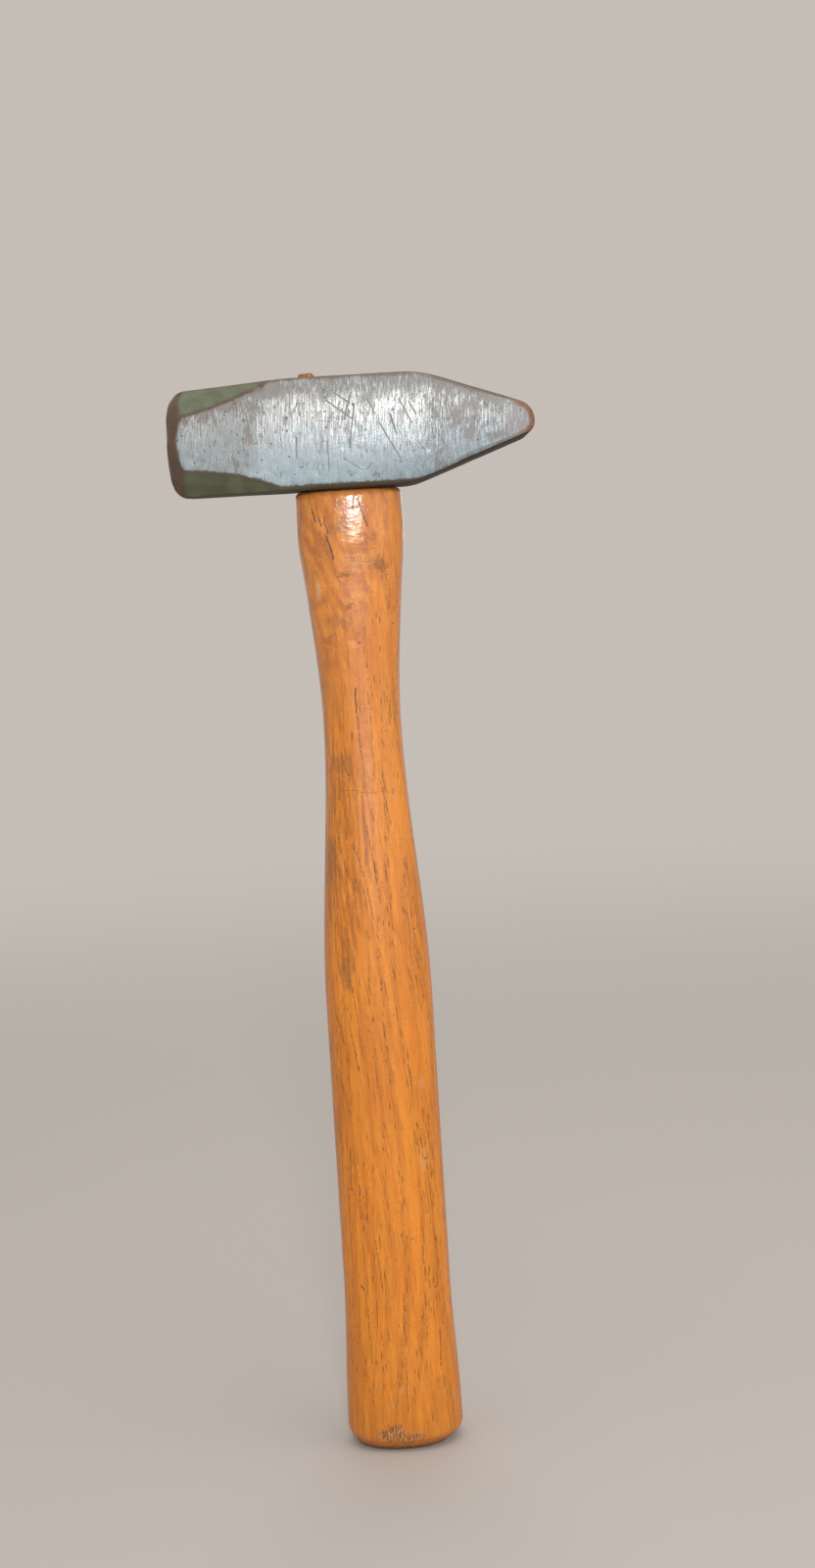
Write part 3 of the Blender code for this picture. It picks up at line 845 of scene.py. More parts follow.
class Shading(Nodes):
    """The nodes of one material. Its places are in millimetres."""

    def __init__(self, name):
        self.material = bpy.data.materials.new(name)
        self.material.use_nodes = True
        super().__init__(self.material.node_tree)
        self.shader = self.tree.nodes["Principled BSDF"]
        found = self.add("TexCoord").outputs["Object"]
        self.place = self.vector("MULTIPLY", found, (1 / MM,) * 3)
        self.x, self.y, self.z = self.parts(self.place)

    def length(self, vector):
        return self.vector("LENGTH", vector, output="Value")

    def parts(self, vector):
        node = self.add("SeparateXYZ")
        self.feed(node.inputs[0], vector)
        return list(node.outputs)

    def joined(self, x, y, z):
        return self.call(self.add("CombineXYZ"), x, y, z)

    def sized(self, size, place=None):
        """Places counted in features of the given size, one number or one for each axis."""
        sizes = size if isinstance(size, tuple) else (size,) * 3
        return self.vector("MULTIPLY", place or self.place, tuple(1 / s for s in sizes))

    def noise(self, size, detail=2.0, place=None, output=0):
        """Noise from 0 to 1 with features of the given size."""
        values = (self.sized(size, place), 1.0, detail)
        return self.call(self.add("TexNoise"), *values, inputs=("Vector", "Scale", "Detail"), output=output)

    def cells(self, size, place=None, **settings):
        """Distance from the nearest of scattered points, one in each cell, and that point's numbers."""
        node = self.add("TexVoronoi", **settings)
        self.call(node, self.sized(size, place), 1.0, inputs=("Vector", "Scale"))
        return node.outputs["Distance"], self.parts(node.outputs["Color"])

    def chance(self, share, *key):
        """1 for a share of the keys of three numbers."""
        node = self.add("TexWhiteNoise", noise_dimensions="3D")
        return self.number("LESS_THAN", self.call(node, self.joined(*key), output="Value"), share)

    def centred(self, value):
        return self.number("SUBTRACT", value, 0.5)

    def off_middle(self, value):
        """How far a number lies from halfway between two whole ones."""
        return self.number("ABSOLUTE", self.centred(self.number("FRACT", value)))

    def rest(self, share):
        return self.number("SUBTRACT", 1.0, share)

    def sum(self, *terms):
        """Sum of terms, each a value or a (weight, value)."""
        total = 0.0
        for term in terms:
            weight, value = term if isinstance(term, tuple) else (1.0, term)
            total = self.number("MULTIPLY_ADD", value, weight, total)
        return total

    def product(self, first, *others):
        for other in others:
            first = self.number("MULTIPLY", first, other)
        return first

    def ramp(self, value, low, high, start=0.0, end=1.0):
        """Start below low, end above high, and smooth between them. A list of terms is summed first."""
        value = self.sum(*value) if isinstance(value, list) else value
        node = self.add("MapRange", interpolation_type="SMOOTHSTEP")
        return self.call(node, value, low, high, start, end)

    def blend(self, share, a, b):
        """Number from a, at share 0, to b, at share 1."""
        return self.call(self.add("Mix", data_type="FLOAT"), share, a, b, inputs=(0, 2, 3))

    def mix(self, share, a, b):
        """Colour from a, at share 0, to b, at share 1."""
        a, b = ((*c, 1.0) if isinstance(c, tuple) else c for c in (a, b))
        return self.call(self.add("Mix", data_type="RGBA"), share, a, b, inputs=(0, 6, 7), output=2)

    def layers(self, colour, *coats):
        """A colour under coats, each a mask, its strength and its colour."""
        for mask, strength, coat in coats:
            colour = self.mix(self.product(mask, strength), colour, coat)
        return colour

    def shade(self, colour, *values):
        """A colour times numbers."""
        for value in values:
            value = (value, value, value, 1.0) if isinstance(value, float) else value
            node = self.add("Mix", data_type="RGBA", blend_type="MULTIPLY")
            colour = self.call(node, 1.0, colour, value, inputs=(0, 6, 7), output=2)
        return colour

    def value(self, name):
        """A number stored on the mesh's points."""
        return self.add("Attribute", attribute_name=name).outputs["Fac"]

    def turned(self, angle):
        """Places turned about Y, so that marks can run at an angle across X and Z."""
        node = self.add("VectorRotate", rotation_type="Y_AXIS")
        return self.call(node, self.place, angle, inputs=("Vector", "Angle"))

    def front(self):
        return self.ramp(self.y, 1.0, -1.0)

    def warped(self, size, amount):
        """Places shifted to and fro by up to about half the amount, over the given size."""
        shift = self.vector("SUBTRACT", self.noise(size, output="Color"), (0.5, 0.5, 0.5))
        return self.vector("ADD", self.place, self.vector("MULTIPLY", shift, (amount,) * 3))

    def spots(self, places, place, rise=0.0):
        """Soft spots on the front: middles, as x and height above the rise, and half sizes."""
        flat = self.vector("MULTIPLY", place, (1.0, 0.0, 1.0))
        near = 0.0
        for x, z, half_x, half_z in places:
            away = self.vector("SUBTRACT", flat, (x, 0.0, rise + z))
            away = self.vector("DIVIDE", away, (half_x, 1.0, half_z))
            near = self.most(self.rest(self.length(away)), near)
        return self.product(self.ramp(near, 0.0, 1.0), self.front())

    def strokes(self, lines, half, place, rise=0.0):
        """Thin straight marks on the front: x and height above the rise of one end, then of the other."""
        flat = self.vector("MULTIPLY", place, (1.0, 0.0, 1.0))
        near = 1.0
        for x0, z0, x1, z1 in lines:
            reach = Vector((x1 - x0, 0.0, z1 - z0))
            away = self.vector("SUBTRACT", flat, (x0, 0.0, rise + z0))
            share = self.vector("DOT_PRODUCT", away, tuple(reach / reach.length_squared), output="Value")
            share = self.call(self.add("Clamp"), share)
            point = self.vector("SCALE", tuple(reach), share, inputs=(0, 3))
            near = self.number("MINIMUM", self.length(self.vector("SUBTRACT", away, point)), near)
        return self.product(self.ramp(near, half, half / 4), self.front())

    def marks(self, angle, spacing, length, half, share):
        """Straight marks strewn at an angle over X and Z, at most one in each cell of spacing by length."""
        x, _, z = self.parts(self.turned(angle))
        across = self.number("DIVIDE", x, spacing)
        column = self.number("FLOOR", across)
        slide = self.add("TexWhiteNoise", noise_dimensions="1D")
        slide = self.call(slide, column, inputs=("W",), output="Value")
        along = self.sum((1 / length, z), (CELL_SLIDE, slide))
        back = self.number("GREATER_THAN", self.y, 0.0)
        drawn = self.chance(share, column, self.number("FLOOR", along), back)
        thin = self.ramp(self.off_middle(across), half / spacing, half / spacing / 4)
        return self.product(thin, self.ramp(self.off_middle(along), *MARK_FADE), drawn)

    def pores(self, place, spacing, length, radius, share):
        """Dashes along Z: tubes strewn over X and Y, broken into lengths, of which a share is open."""
        far, (first, second, _) = self.cells(spacing, place, voronoi_dimensions="2D")
        along = self.sum((1 / length, self.parts(place)[2]), (CELL_SLIDE, first))
        drawn = self.chance(share, first, second, self.number("FLOOR", along))
        inside = self.ramp(far, radius / spacing, radius / spacing / 2)
        return self.product(inside, self.ramp(self.off_middle(along), *PORE_FADE), drawn)

    def bump(self, height, depth, under=None):
        """Normal of a surface raised by depth, in metres, where height is 1."""
        node = self.add("Bump")
        self.call(node, 1.0, depth, height, inputs=("Strength", "Distance", "Height"))
        if under is not None:
            self.feed(node.inputs["Normal"], under)
        return node.outputs[0]

    def finish(self, **sockets):
        """Sets the shader's inputs, with underscores for the spaces in their names."""
        for name, value in sockets.items():
            value = (*value, 1.0) if isinstance(value, tuple) else value
            self.feed(self.shader.inputs[name.replace("_", " ")], value)
        return self.material


# Paint, steel and rust of the head, some darkened as painted shade, where two colours are the ends of a
# mottle
GREY_PAINT = ((0.256, 0.274, 0.266), (0.292, 0.306, 0.308))
BLUE_PAINT = (0.250, 0.318, 0.352)
GREEN_PAINT = ((0.088, 0.100, 0.052), (0.132, 0.148, 0.084))
# Brown-green paint darkened as painted shade, for the lower chamfers under the head
SHADED_BROWN_GREEN = (0.064, 0.045, 0.026)
# Near black brown for the head's underside: painted shade
SHADED_UNDERSIDE = (0.032, 0.021, 0.010)
WORN_STEEL = ((0.090, 0.073, 0.062), (0.205, 0.174, 0.153))
BARE_STEEL = (0.235, 0.212, 0.220)
SCRATCH = (0.115, 0.088, 0.070)
PIT = (0.060, 0.050, 0.042)
RUST = ((0.062, 0.035, 0.022), (0.135, 0.078, 0.048))
BRIGHT_RUST = (0.215, 0.105, 0.052)
NOSE_RUST = ((0.135, 0.058, 0.032), (0.275, 0.122, 0.070))

# Scratches on the front cheek, in millimetres from the middle of the eye: x, z to x, z
CHEEK_SCRATCHES = (
    (-5.1, 10.8, 3.1, 4.1), (-2.1, 13.0, 2.9, 9.4), (0.7, 3.8, 3.4, 12.7), (2.0, -5.7, 4.4, 8.9),
    (8.8, 10.5, 11.4, 5.1), (12.5, 2.1, 19.4, -11.2), (-0.1, -9.5, 5.8, -13.7), (7.3, -13.8, 9.3, -11.5),
    (-5.5, -3.0, -5.4, -13.5), (-15.9, -1.4, -16.1, -8.6), (16.4, 4.8, 18.1, -2.0), (19.7, 9.8, 23.6, 1.4),
    (23.0, 8.6, 25.2, 4.2),
)
SCRATCH_HALF_WIDTH = 0.36
GRIND_LEAN = -0.06
# Scratches strewn over the head: angle, spacing, length, half width and share
STREWN_SCRATCHES = (
    (0.55, 2.9, 7.0, 0.24, 0.06),
    (-0.35, 2.3, 6.0, 0.22, 0.06),
    (1.45, 3.3, 8.0, 0.18, 0.04),
    (GRIND_LEAN, 1.1, 3.2, 0.28, 0.11),
)
# Worn spots on the front cheek: middle and half sizes
CHEEK_SPOTS = (
    (-32.3, 1.0, 2.4, 9.0), (-37.2, -9.2, 2.2, 5.0), (38.5, 1.5, 5.0, 5.0), (43.0, -3.5, 4.0, 4.0),
    (31.8, -8.8, 3.2, 3.0), (32.0, -12.6, 6.0, 3.4), (19.5, -15.2, 6.0, 2.8), (-29.0, 8.5, 6.0, 4.5),
    (2.0, -14.5, 5.0, 2.4), (-25.0, 15.0, 10.0, 3.6), (-38.0, 11.0, 5.0, 3.0), (10.0, -15.5, 5.0, 2.2),
)
# Painted highlight: a pale spot in the paint by the striking end
PAINTED_HIGHLIGHT_SPOT = (-50.0, 2.0, 10.0, 8.0)


def head_material():
    s = Shading("worn_head_paint")
    middle = HEAD_MIDDLE / MM
    up = s.number("SUBTRACT", s.z, middle)
    edge = s.value("edge")
    tilted = s.turned(GRIND_LEAN)
    ragged = s.centred(s.noise(1.6, 4.0))
    patch = s.noise(5.5, 4.0)
    grit = s.noise(0.45, 3.0)
    grain = s.noise((0.65, 2.0, 2.6), 5.0, tilted)
    broad = s.centred(s.noise(9.0, 2.0))
    streaks = s.noise((0.42, 6.0, 5.0), 2.0, tilted)

    # Surfaces of the head
    chamfer = s.ramp([s.value("chamfer"), (0.4, ragged)], -0.07, 0.07)
    rim = s.ramp([s.value("rim"), (0.9, ragged)], -0.12, 0.06)
    face = s.ramp([s.value("face"), (1.2, ragged)], -0.3, 0.3)
    flank = s.ramp([s.value("flank"), (0.4, ragged)], -0.20, 0.02)
    tip = s.sum(s.x, (3.0, ragged), -PEEN_REACH / MM)
    crescent = s.product(s.ramp([edge, (1.4, ragged)], 2.3, 1.3), s.ramp(tip, -8.5, -4.5))
    nose = s.most(crescent, s.product(flank, s.ramp(tip, -8.0, -4.0)))
    nose = s.product(nose, s.ramp([up, (1.5, ragged)], -4.8, -3.2))
    cheek = s.rest(s.most(chamfer, rim, nose, flank))
    upper_half = s.ramp(up, -3.0, 3.0)

    # Wear of the cheeks
    past_eye = s.most(s.sum(s.x, -28.0), 0.0)
    near_top = s.product(s.ramp([edge, (3.0, broad)], 6.5, 0.8), s.ramp([up, (0.42, past_eye)], 0.0, 7.0))
    around = s.warped(1.5, 2.2)
    worn = s.sum(
        grain, (0.17, near_top), (0.24, s.spots(CHEEK_SPOTS, around, middle)), (0.40, broad), (0.004, up),
        (0.25, s.centred(patch)), (0.04, s.ramp(s.x, -28.0, -34.0)), (0.07, s.ramp(s.x, 24.0, 34.0)),
    )
    worn = s.product(s.ramp(worn, 0.58, 0.74), s.ramp(grit, 0.30, 0.50, 0.4, 1.0))
    bare = s.ramp([tip, (4.0, ragged)], -13.0, -7.0)
    brown_line = s.ramp([edge, (1.2, ragged)], s.ramp(up, 0.0, 6.0, 0.55, 1.0), 0.15)
    drawn = s.strokes(CHEEK_SCRATCHES, SCRATCH_HALF_WIDTH, s.warped(2.5, 0.4), middle)
    drawn = s.product(drawn, s.ramp([(0.5, grit), (0.5, patch)], 0.36, 0.60, 0.45, 1.0))
    strewn = s.most(*(s.marks(*group) for group in STREWN_SCRATCHES))
    scratch = s.most(drawn, s.product(strewn, s.ramp(grain, 0.42, 0.58, 0.15, 0.75)))
    pit_far, (pit_pick, *_) = s.cells(1.9, s.warped(0.8, 0.5))
    pit_share = s.ramp(s.x, 20.0, -45.0, 0.10, 0.36)
    pits = s.product(s.ramp(pit_far, 0.25, 0.12), s.number("LESS_THAN", pit_pick, pit_share))

    # Colours
    blue = s.ramp([up, (20.0, broad), (8.0, ragged)], 4.0, -7.0)
    blue = s.product(blue, s.ramp([s.x, (8.0, ragged)], -36.0, -24.0, 0.55, 1.0))
    pale_low = s.product(s.ramp([up, (5.0, broad)], -3.0, -15.0), s.ramp(s.x, 18.0, 2.0))
    pale_low = s.product(pale_low, s.ramp(s.x, -38.0, -30.0))
    # Painted highlight by the striking end, broken up along the streaks
    painted_highlight_end = s.product(s.spots([PAINTED_HIGHLIGHT_SPOT], around, middle), s.ramp(streaks, 0.35, 0.6))
    paint = s.shade(
        s.mix(blue, s.mix(s.ramp(patch, 0.35, 0.65), *GREY_PAINT), BLUE_PAINT),
        s.ramp([(0.6, streaks), (0.4, grit)], 0.34, 0.66, 0.74, 1.18),
        s.ramp(s.noise(3.2, 4.0), 0.35, 0.65, 0.90, 1.06),
        s.ramp([s.x, (9.0, broad)], 22.0, 32.0, 1.0, 0.79),
        s.sum((0.28, pale_low), (0.34, painted_highlight_end), 1.03),
    )
    steel = s.mix(s.ramp(grit, 0.3, 0.7), *WORN_STEEL)
    rust = s.mix(s.ramp(grit, 0.3, 0.7), *RUST)
    rust = s.mix(s.ramp(patch, 0.55, 0.75, 0.0, 0.6), rust, BRIGHT_RUST)
    rusty_edge = s.product(s.ramp([edge, (1.4, ragged)], 0.8, 0.2), s.ramp(up, -2.0, 2.0, 0.45, 0.8))
    green = s.layers(
        s.mix(s.ramp(patch, 0.3, 0.7), *GREEN_PAINT),
        (s.ramp([grit, (0.7, ragged)], 0.62, 0.80), 0.5, rust),
        (rusty_edge, 1.0, rust),
    )
    # Lower chamfers: green darkened as painted shade, turning to brown-green with painted shade towards the
    # handle
    shaded_low_green = s.mix(s.ramp([s.x, (12.0, broad)], -24.0, -6.0), s.shade(green, 0.80), SHADED_BROWN_GREEN)
    above = s.mix(s.ramp(patch, 0.40, 0.75, 0.25, 0.75), green, rust)
    # Lower flank: green shaded down and near black brown, as painted shade under the head
    below = s.mix(s.ramp([patch, (0.02, s.x)], 0.30, 0.65), s.shade(green, 0.4), SHADED_UNDERSIDE)
    striking = s.mix(s.ramp(patch, 0.4, 0.65), s.mix(0.3, steel, rust), rust)
    colour = s.layers(
        paint,
        (worn, 0.85, steel),
        (bare, 0.6, BARE_STEEL),
        (scratch, 0.85, SCRATCH),
        (pits, 0.75, PIT),
        (brown_line, 0.85, rust),
        (flank, 1.0, s.mix(upper_half, below, above)),
        (chamfer, 1.0, s.mix(upper_half, shaded_low_green, green)),
        (nose, 1.0, s.mix(s.ramp(grit, 0.35, 0.65), *NOSE_RUST)),
        (rim, 1.0, s.mix(face, rust, striking)),
    )

    # Gloss and relief
    gloss = s.ramp([up, (12.0, broad), (7.0, ragged)], 13.0, 10.0)
    gloss = s.product(gloss, s.ramp([s.x, (9.0, broad), (5.0, ragged)], 26.0, 33.0, 1.0, 0.45))
    sheen = s.ramp([(0.65, streaks), (0.35, grit)], 0.36, 0.64, 0.39, 0.20)
    sheen = s.sum(sheen, (0.13, s.most(s.rest(gloss), s.product(bare, 0.8))))
    crusty = s.sum(s.ramp(grit, 0.2, 0.8, 0.5, 0.75), (0.25, s.product(flank, s.ramp(up, 0.0, -5.0))))
    rough = s.blend(cheek, crusty, s.blend(s.most(worn, scratch), sheen, 0.46))
    crust = s.product(s.most(rim, nose, s.product(flank, 0.6)), s.noise(0.9, 4.0))
    fine = s.bump(s.product(s.sum((0.7, streaks), (0.3, grit)), cheek), 0.00003)
    height = s.sum((0.25, grit), (-0.5, scratch), (-1.0, pits), (-0.3, s.product(worn, cheek)), crust)
    normal = s.bump(height, 0.00007, fine)
    metal = s.product(cheek, worn, 0.15)
    return s.finish(Base_Color=colour, Metallic=metal, Roughness=rough, Normal=normal, IOR=1.6)


# Colours of the handle, where two colours are the ends of a mottle
HICKORY = ((0.665, 0.199, 0.016), (0.782, 0.259, 0.022))
RUDDY = ((0.810, 0.303, 0.054), (0.525, 0.155, 0.034))
SMOKE = (0.32, 0.095, 0.014)
FILM = (0.27, 0.095, 0.032)
PORE = (0.105, 0.040, 0.012)
LINE = (0.12, 0.05, 0.018)
CRACK = (0.065, 0.030, 0.015)
SCRAPE = (0.20, 0.085, 0.035)
GRIME = (0.200, 0.128, 0.072)
SCUFF_AND_GLINT = (0.72, 0.46, 0.29)
NICK = (0.07, 0.035, 0.02)
TORN_WOOD = ((0.105, 0.050, 0.024), (0.58, 0.29, 0.12))
LOW_BUTT = (0.50, 0.190, 0.040)
# Round the butt: the chamfer's darker band is painted shade, the dark rim is painted contact shadow with
# dirt
SHADED_BUTT_CHAMFER = (0.36, 0.110, 0.016)
BUTT_RIM_SHADOW_AND_DIRT = (0.085, 0.035, 0.012)
SHOULDER_RIM = (0.48, 0.22, 0.105)
END_GRAIN = ((0.62, 0.29, 0.095), (0.38, 0.165, 0.055))

# Cracks in the front of the handle, in millimetres above the butt: x, z to x, z
HANDLE_CRACKS = (
    (-1.3, 266.2, -1.6, 262.1), (-1.6, 262.1, -1.5, 257.8), (-12.7, 328.6, -11.6, 324.5),
    (-10.5, 325.8, -9.7, 322.7), (-8.8, 326.0, -7.5, 319.9), (-8.2, 319.0, -6.3, 312.3),
    (-6.6, 314.6, -6.2, 311.0), (2.1, 332.1, 1.5, 328.1), (3.4, 331.4, 6.2, 321.7),
    (-12.3, 58.1, -11.4, 56.9),
)
CRACK_HALF_WIDTH = 0.36
# Dark lines of the grain on the front, in the same way
HANDLE_LINES = (
    (-1.4, 257.0, -1.1, 247.6), (-1.1, 247.6, 0.0, 235.6), (-0.6, 218.5, 0.8, 208.2),
    (0.8, 208.2, 2.8, 191.8), (-5.7, 212.9, -1.9, 199.0), (-1.9, 199.0, -0.1, 186.0),
    (-8.0, 243.8, -5.3, 233.3), (5.0, 234.4, 8.1, 218.0), (-10.7, 214.9, -8.1, 201.1),
    (-10.7, 173.1, -8.3, 157.5), (-8.3, 157.5, -6.5, 137.7), (-15.0, 152.8, -13.0, 143.2),
    (-10.6, 148.2, -8.4, 134.4), (-13.0, 108.9, -13.7, 91.7), (-10.8, 93.7, -11.0, 81.5),
    (-8.3, 92.0, -8.6, 80.5), (-6.3, 74.3, -4.8, 56.5), (-10.5, 50.7, -10.1, 31.5),
    (9.8, 71.0, 10.2, 58.7), (14.1, 41.5, 13.7, 28.5), (2.0, 55.4, 2.0, 49.2),
    (2.1, 47.7, 1.6, 37.0), (1.8, 33.0, 1.5, 26.0), (1.6, 26.0, 1.3, 14.3),
)
LINE_HALF_WIDTH = 0.30
# Small cross scratches, most of them near the head
HANDLE_SCRAPES = (
    (-5.0, 304.8, 1.0, 307.6), (1.0, 307.6, 7.5, 309.8), (-1.2, 312.7, 10.5, 314.3),
    (-0.9, 316.1, 4.4, 315.1), (-2.1, 307.7, 4.8, 309.3), (1.9, 318.6, 5.4, 319.7),
    (-2.0, 310.6, 3.4, 311.4), (-7.8, 325.4, -0.3, 325.1), (0.9, 323.6, 3.0, 324.4),
    (-8.4, 231.4, -2.0, 230.6), (-2.1, 230.2, 9.8, 229.4), (1.0, 259.0, 4.4, 258.7),
)
SCRAPE_HALF_WIDTH = 0.16
# Pale scratches strewn over the handle: angle, spacing, length, half width and share
STREWN_SCUFFS = ((1.2, 5.1, 4.0, 0.15, 0.02), (1.8, 6.3, 4.0, 0.15, 0.02))
# Grime, brown film, pale scuffs and a painted glint on the front, and tears in the butt's edge: middle and
# half sizes
HANDLE_GRIME = (
    (10.1, 307.9, 4.4, 3.8), (-2.8, 305.3, 4.8, 1.5), (-1.3, 294.7, 3.2, 1.9), (3.3, 76.2, 1.6, 1.3),
    (6.8, 74.2, 1.8, 0.9),
)
HANDLE_FILM = (
    (-5.6, 289.5, 6.5, 4.6), (-9.0, 284.0, 4.5, 2.5), (-3.0, 322.5, 8.0, 5.0), (-9.5, 315.0, 4.5, 9.0),
    (8.0, 318.0, 5.0, 5.0), (-9.0, 240.0, 6.0, 9.0), (-13.0, 205.0, 5.0, 16.0), (-10.0, 168.0, 5.0, 12.0),
)
# Pale scuffs, and a painted glint: the spot at the left below the shoulder
HANDLE_SCUFFS_AND_GLINTS = (
    (-12.1, 300.5, 1.7, 6.0), (12.9, 127.5, 1.8, 4.0), (12.2, 101.3, 2.6, 7.0), (9.5, 228.5, 2.0, 1.6),
    (9.5, 252.0, 1.2, 3.0), (-0.3, 21.8, 1.6, 2.6), (-3.5, 16.8, 1.2, 2.0), (3.0, 309.0, 6.0, 0.7),
)
BUTT_TEARS = ((-4.9, 6.9, 7.5, 4.4), (1.5, 4.8, 8.5, 2.6))
# Middle of the rings, their spacing, and how far the grain runs across the handle
PITH = (-22.0, 45.0, 0.0)
RING_SPACING = 1.9
GRAIN_RUN = 12.0
# Height from which the ruddy part's border leans, how much it leans, and the lean of its streaks
RUDDY_START = 277.0
RUDDY_SLOPE = 0.32
FLAME_LEAN = 0.22


def handle_material():
    s = Shading("lacquered_hickory_grain")
    warp = s.centred(s.noise((14.0, 14.0, 55.0), 2.0))
    grain_x = s.sum(s.x, s.ramp(s.z, 60.0, 260.0, 0.0, GRAIN_RUN), (5.0, warp))
    grain_y = s.sum(s.y, (0.02, s.z), (4.0, warp))
    grain = s.joined(grain_x, grain_y, s.z)
    from_pith = s.length(s.vector("SUBTRACT", s.joined(grain_x, grain_y, 0.0), PITH))
    ring = s.number("FRACT", s.number("DIVIDE", from_pith, RING_SPACING))
    early = s.product(s.ramp(ring, 0.0, 0.12), s.ramp(ring, 0.55, 0.3))
    tilted = s.turned(FLAME_LEAN)
    cloud = s.noise((13.0, 13.0, 34.0), 3.0)
    drift = s.centred(cloud)
    fibre = s.noise((0.30, 0.30, 8.0), 3.0, grain)
    wide = s.noise((2.6, 2.6, 50.0), 3.0, grain)
    mottle = s.noise((2.6, 2.6, 7.0), 5.0, tilted)
    speck = s.centred(s.noise(0.9, 4.0))

    # The ruddy, calmer part below the head, and the straight grain elsewhere
    border = s.product(s.most(s.sum(s.z, -RUDDY_START), 0.0), RUDDY_SLOPE)
    left = s.ramp([s.x, (-1.0, border), (2.5, speck), (6.0, warp)], 1.5, -2.5)
    upper = s.ramp([s.z, (70.0, drift)], 235.0, 300.0)
    calm = s.product(upper, s.ramp(left, 0.0, 1.0, 0.30, 1.0))
    straight = s.rest(calm)
    early_left = s.product(early, left)
    line_share = s.sum((0.22, early_left), (0.06, early), (0.08, s.ramp(cloud, 0.5, 0.75)), (0.03, left))
    dash_share = s.sum((0.44, early), (-0.38, early_left), 0.015)
    dash_share = s.product(dash_share, s.ramp(s.z, 12.0, 45.0, 0.35, 1.0))
    pores = s.most(s.pores(grain, 0.55, 15.0, 0.13, line_share), s.pores(grain, 0.48, 2.6, 0.15, dash_share))
    pores = s.product(pores, s.ramp(straight, 0.0, 0.8, 0.15, 1.0))
    smoke = s.noise((1.1, 1.1, 16.0), 4.0, grain)
    smoke = s.ramp([smoke, (0.5, drift), (0.10, left), (0.08, s.ramp(s.z, 140.0, 190.0))], 0.62, 0.84)
    smoke = s.product(smoke, straight, s.ramp(s.z, 30.0, 170.0, 0.35, 1.0))
    film = s.spots(HANDLE_FILM, s.warped(3.4, 8.0))
    film = s.ramp([(0.9, film), (0.6, drift), (0.9, speck), (0.5, s.centred(mottle))], 0.20, 0.85)

    # Marks of use
    wavy = s.warped(2.0, 0.7)
    broken = s.ramp(speck, -0.16, 0.04)
    lined = s.product(s.strokes(HANDLE_LINES, LINE_HALF_WIDTH, wavy), broken)
    cracks = s.product(s.strokes(HANDLE_CRACKS, CRACK_HALF_WIDTH, wavy), s.ramp(speck, -0.3, -0.1))
    scrapes = s.product(s.strokes(HANDLE_SCRAPES, SCRAPE_HALF_WIDTH, s.warped(4.0, 2.0)), broken)
    smear = s.centred(s.noise((2.6, 2.6, 0.7), 4.0))
    grime = s.ramp([s.spots(HANDLE_GRIME, s.warped(2.2, 3.6)), (1.8, smear), speck], 0.15, 0.80)
    grime = s.product(grime, s.front())
    # Pale scuffs with a painted glint by the shoulder's left side, stronger towards the head
    scuff_and_glint = s.spots(HANDLE_SCUFFS_AND_GLINTS, s.warped(1.1, 1.2))
    scuff_and_glint = s.ramp([scuff_and_glint, (0.8, s.centred(fibre)), (0.8, speck)], 0.15, 0.65)
    scuff_and_glint = s.product(scuff_and_glint, s.front(), s.ramp(s.z, 250.0, 290.0, 0.35, 1.0))
    strewn = s.most(*(s.marks(*group) for group in STREWN_SCUFFS))
    pale = s.most(scuff_and_glint, s.product(strewn, broken, 0.6))
    nick_far, (nick_pick, *_) = s.cells(6.1)
    nicks = s.product(s.ramp(nick_far, 0.08, 0.04), s.number("LESS_THAN", nick_pick, 0.3))
    torn = s.ramp([s.spots(BUTT_TEARS, s.warped(2.0, 4.0)), (1.5, speck)], 0.15, 0.45)
    torn = s.product(torn, s.front())
    tuft = s.ramp(s.noise((0.45, 0.45, 1.7), 4.0), 0.42, 0.58)
    low = s.sum(s.z, (4.0, speck))
    shoulder = s.ramp([s.z, (3.0, speck), -SEAT / MM], -2.6, -0.6)
    end = s.ramp(s.z, HEAD_TOP / MM - 1.0, HEAD_TOP / MM)

    # Colours
    straight_wood = s.shade(
        s.mix(s.ramp(wide, 0.36, 0.64), *HICKORY),
        s.ramp(fibre, 0.28, 0.72, 0.84, 1.10),
        s.ramp(early, 0.0, 1.0, 1.02, 0.93),
        s.ramp(s.z, 5.0, 60.0, 0.90, 1.0),
    )
    flame = s.ramp(s.noise((0.5, 0.5, 5.0), 3.0, tilted), 0.3, 0.7, 0.86, 1.08)
    wood = s.layers(
        straight_wood,
        (calm, 0.9, s.shade(s.mix(s.ramp(mottle, 0.28, 0.72), *RUDDY), flame)),
        (smoke, 0.6, SMOKE),
        (film, 0.45, FILM),
        (pores, 0.85, PORE),
        (lined, 0.7, LINE),
        (cracks, 0.85, CRACK),
        (scrapes, 0.6, SCRAPE),
        (grime, 0.55, GRIME),
        (pale, 0.5, SCUFF_AND_GLINT),
        (nicks, 0.8, NICK),
        (torn, 0.85, s.mix(tuft, *TORN_WOOD)),
        (s.ramp(low, 12.0, 4.0), 0.30, LOW_BUTT),
        # Painted shade on the butt's chamfer, then painted contact shadow with dirt at its rim
        (s.ramp(low, 4.6, 3.6), 0.45, SHADED_BUTT_CHAMFER),
        (s.ramp(low, 2.6, 0.7), 0.85, BUTT_RIM_SHADOW_AND_DIRT),
        (shoulder, 0.35, SHOULDER_RIM),
        (end, 0.8, s.mix(early, *END_GRAIN)),
    )

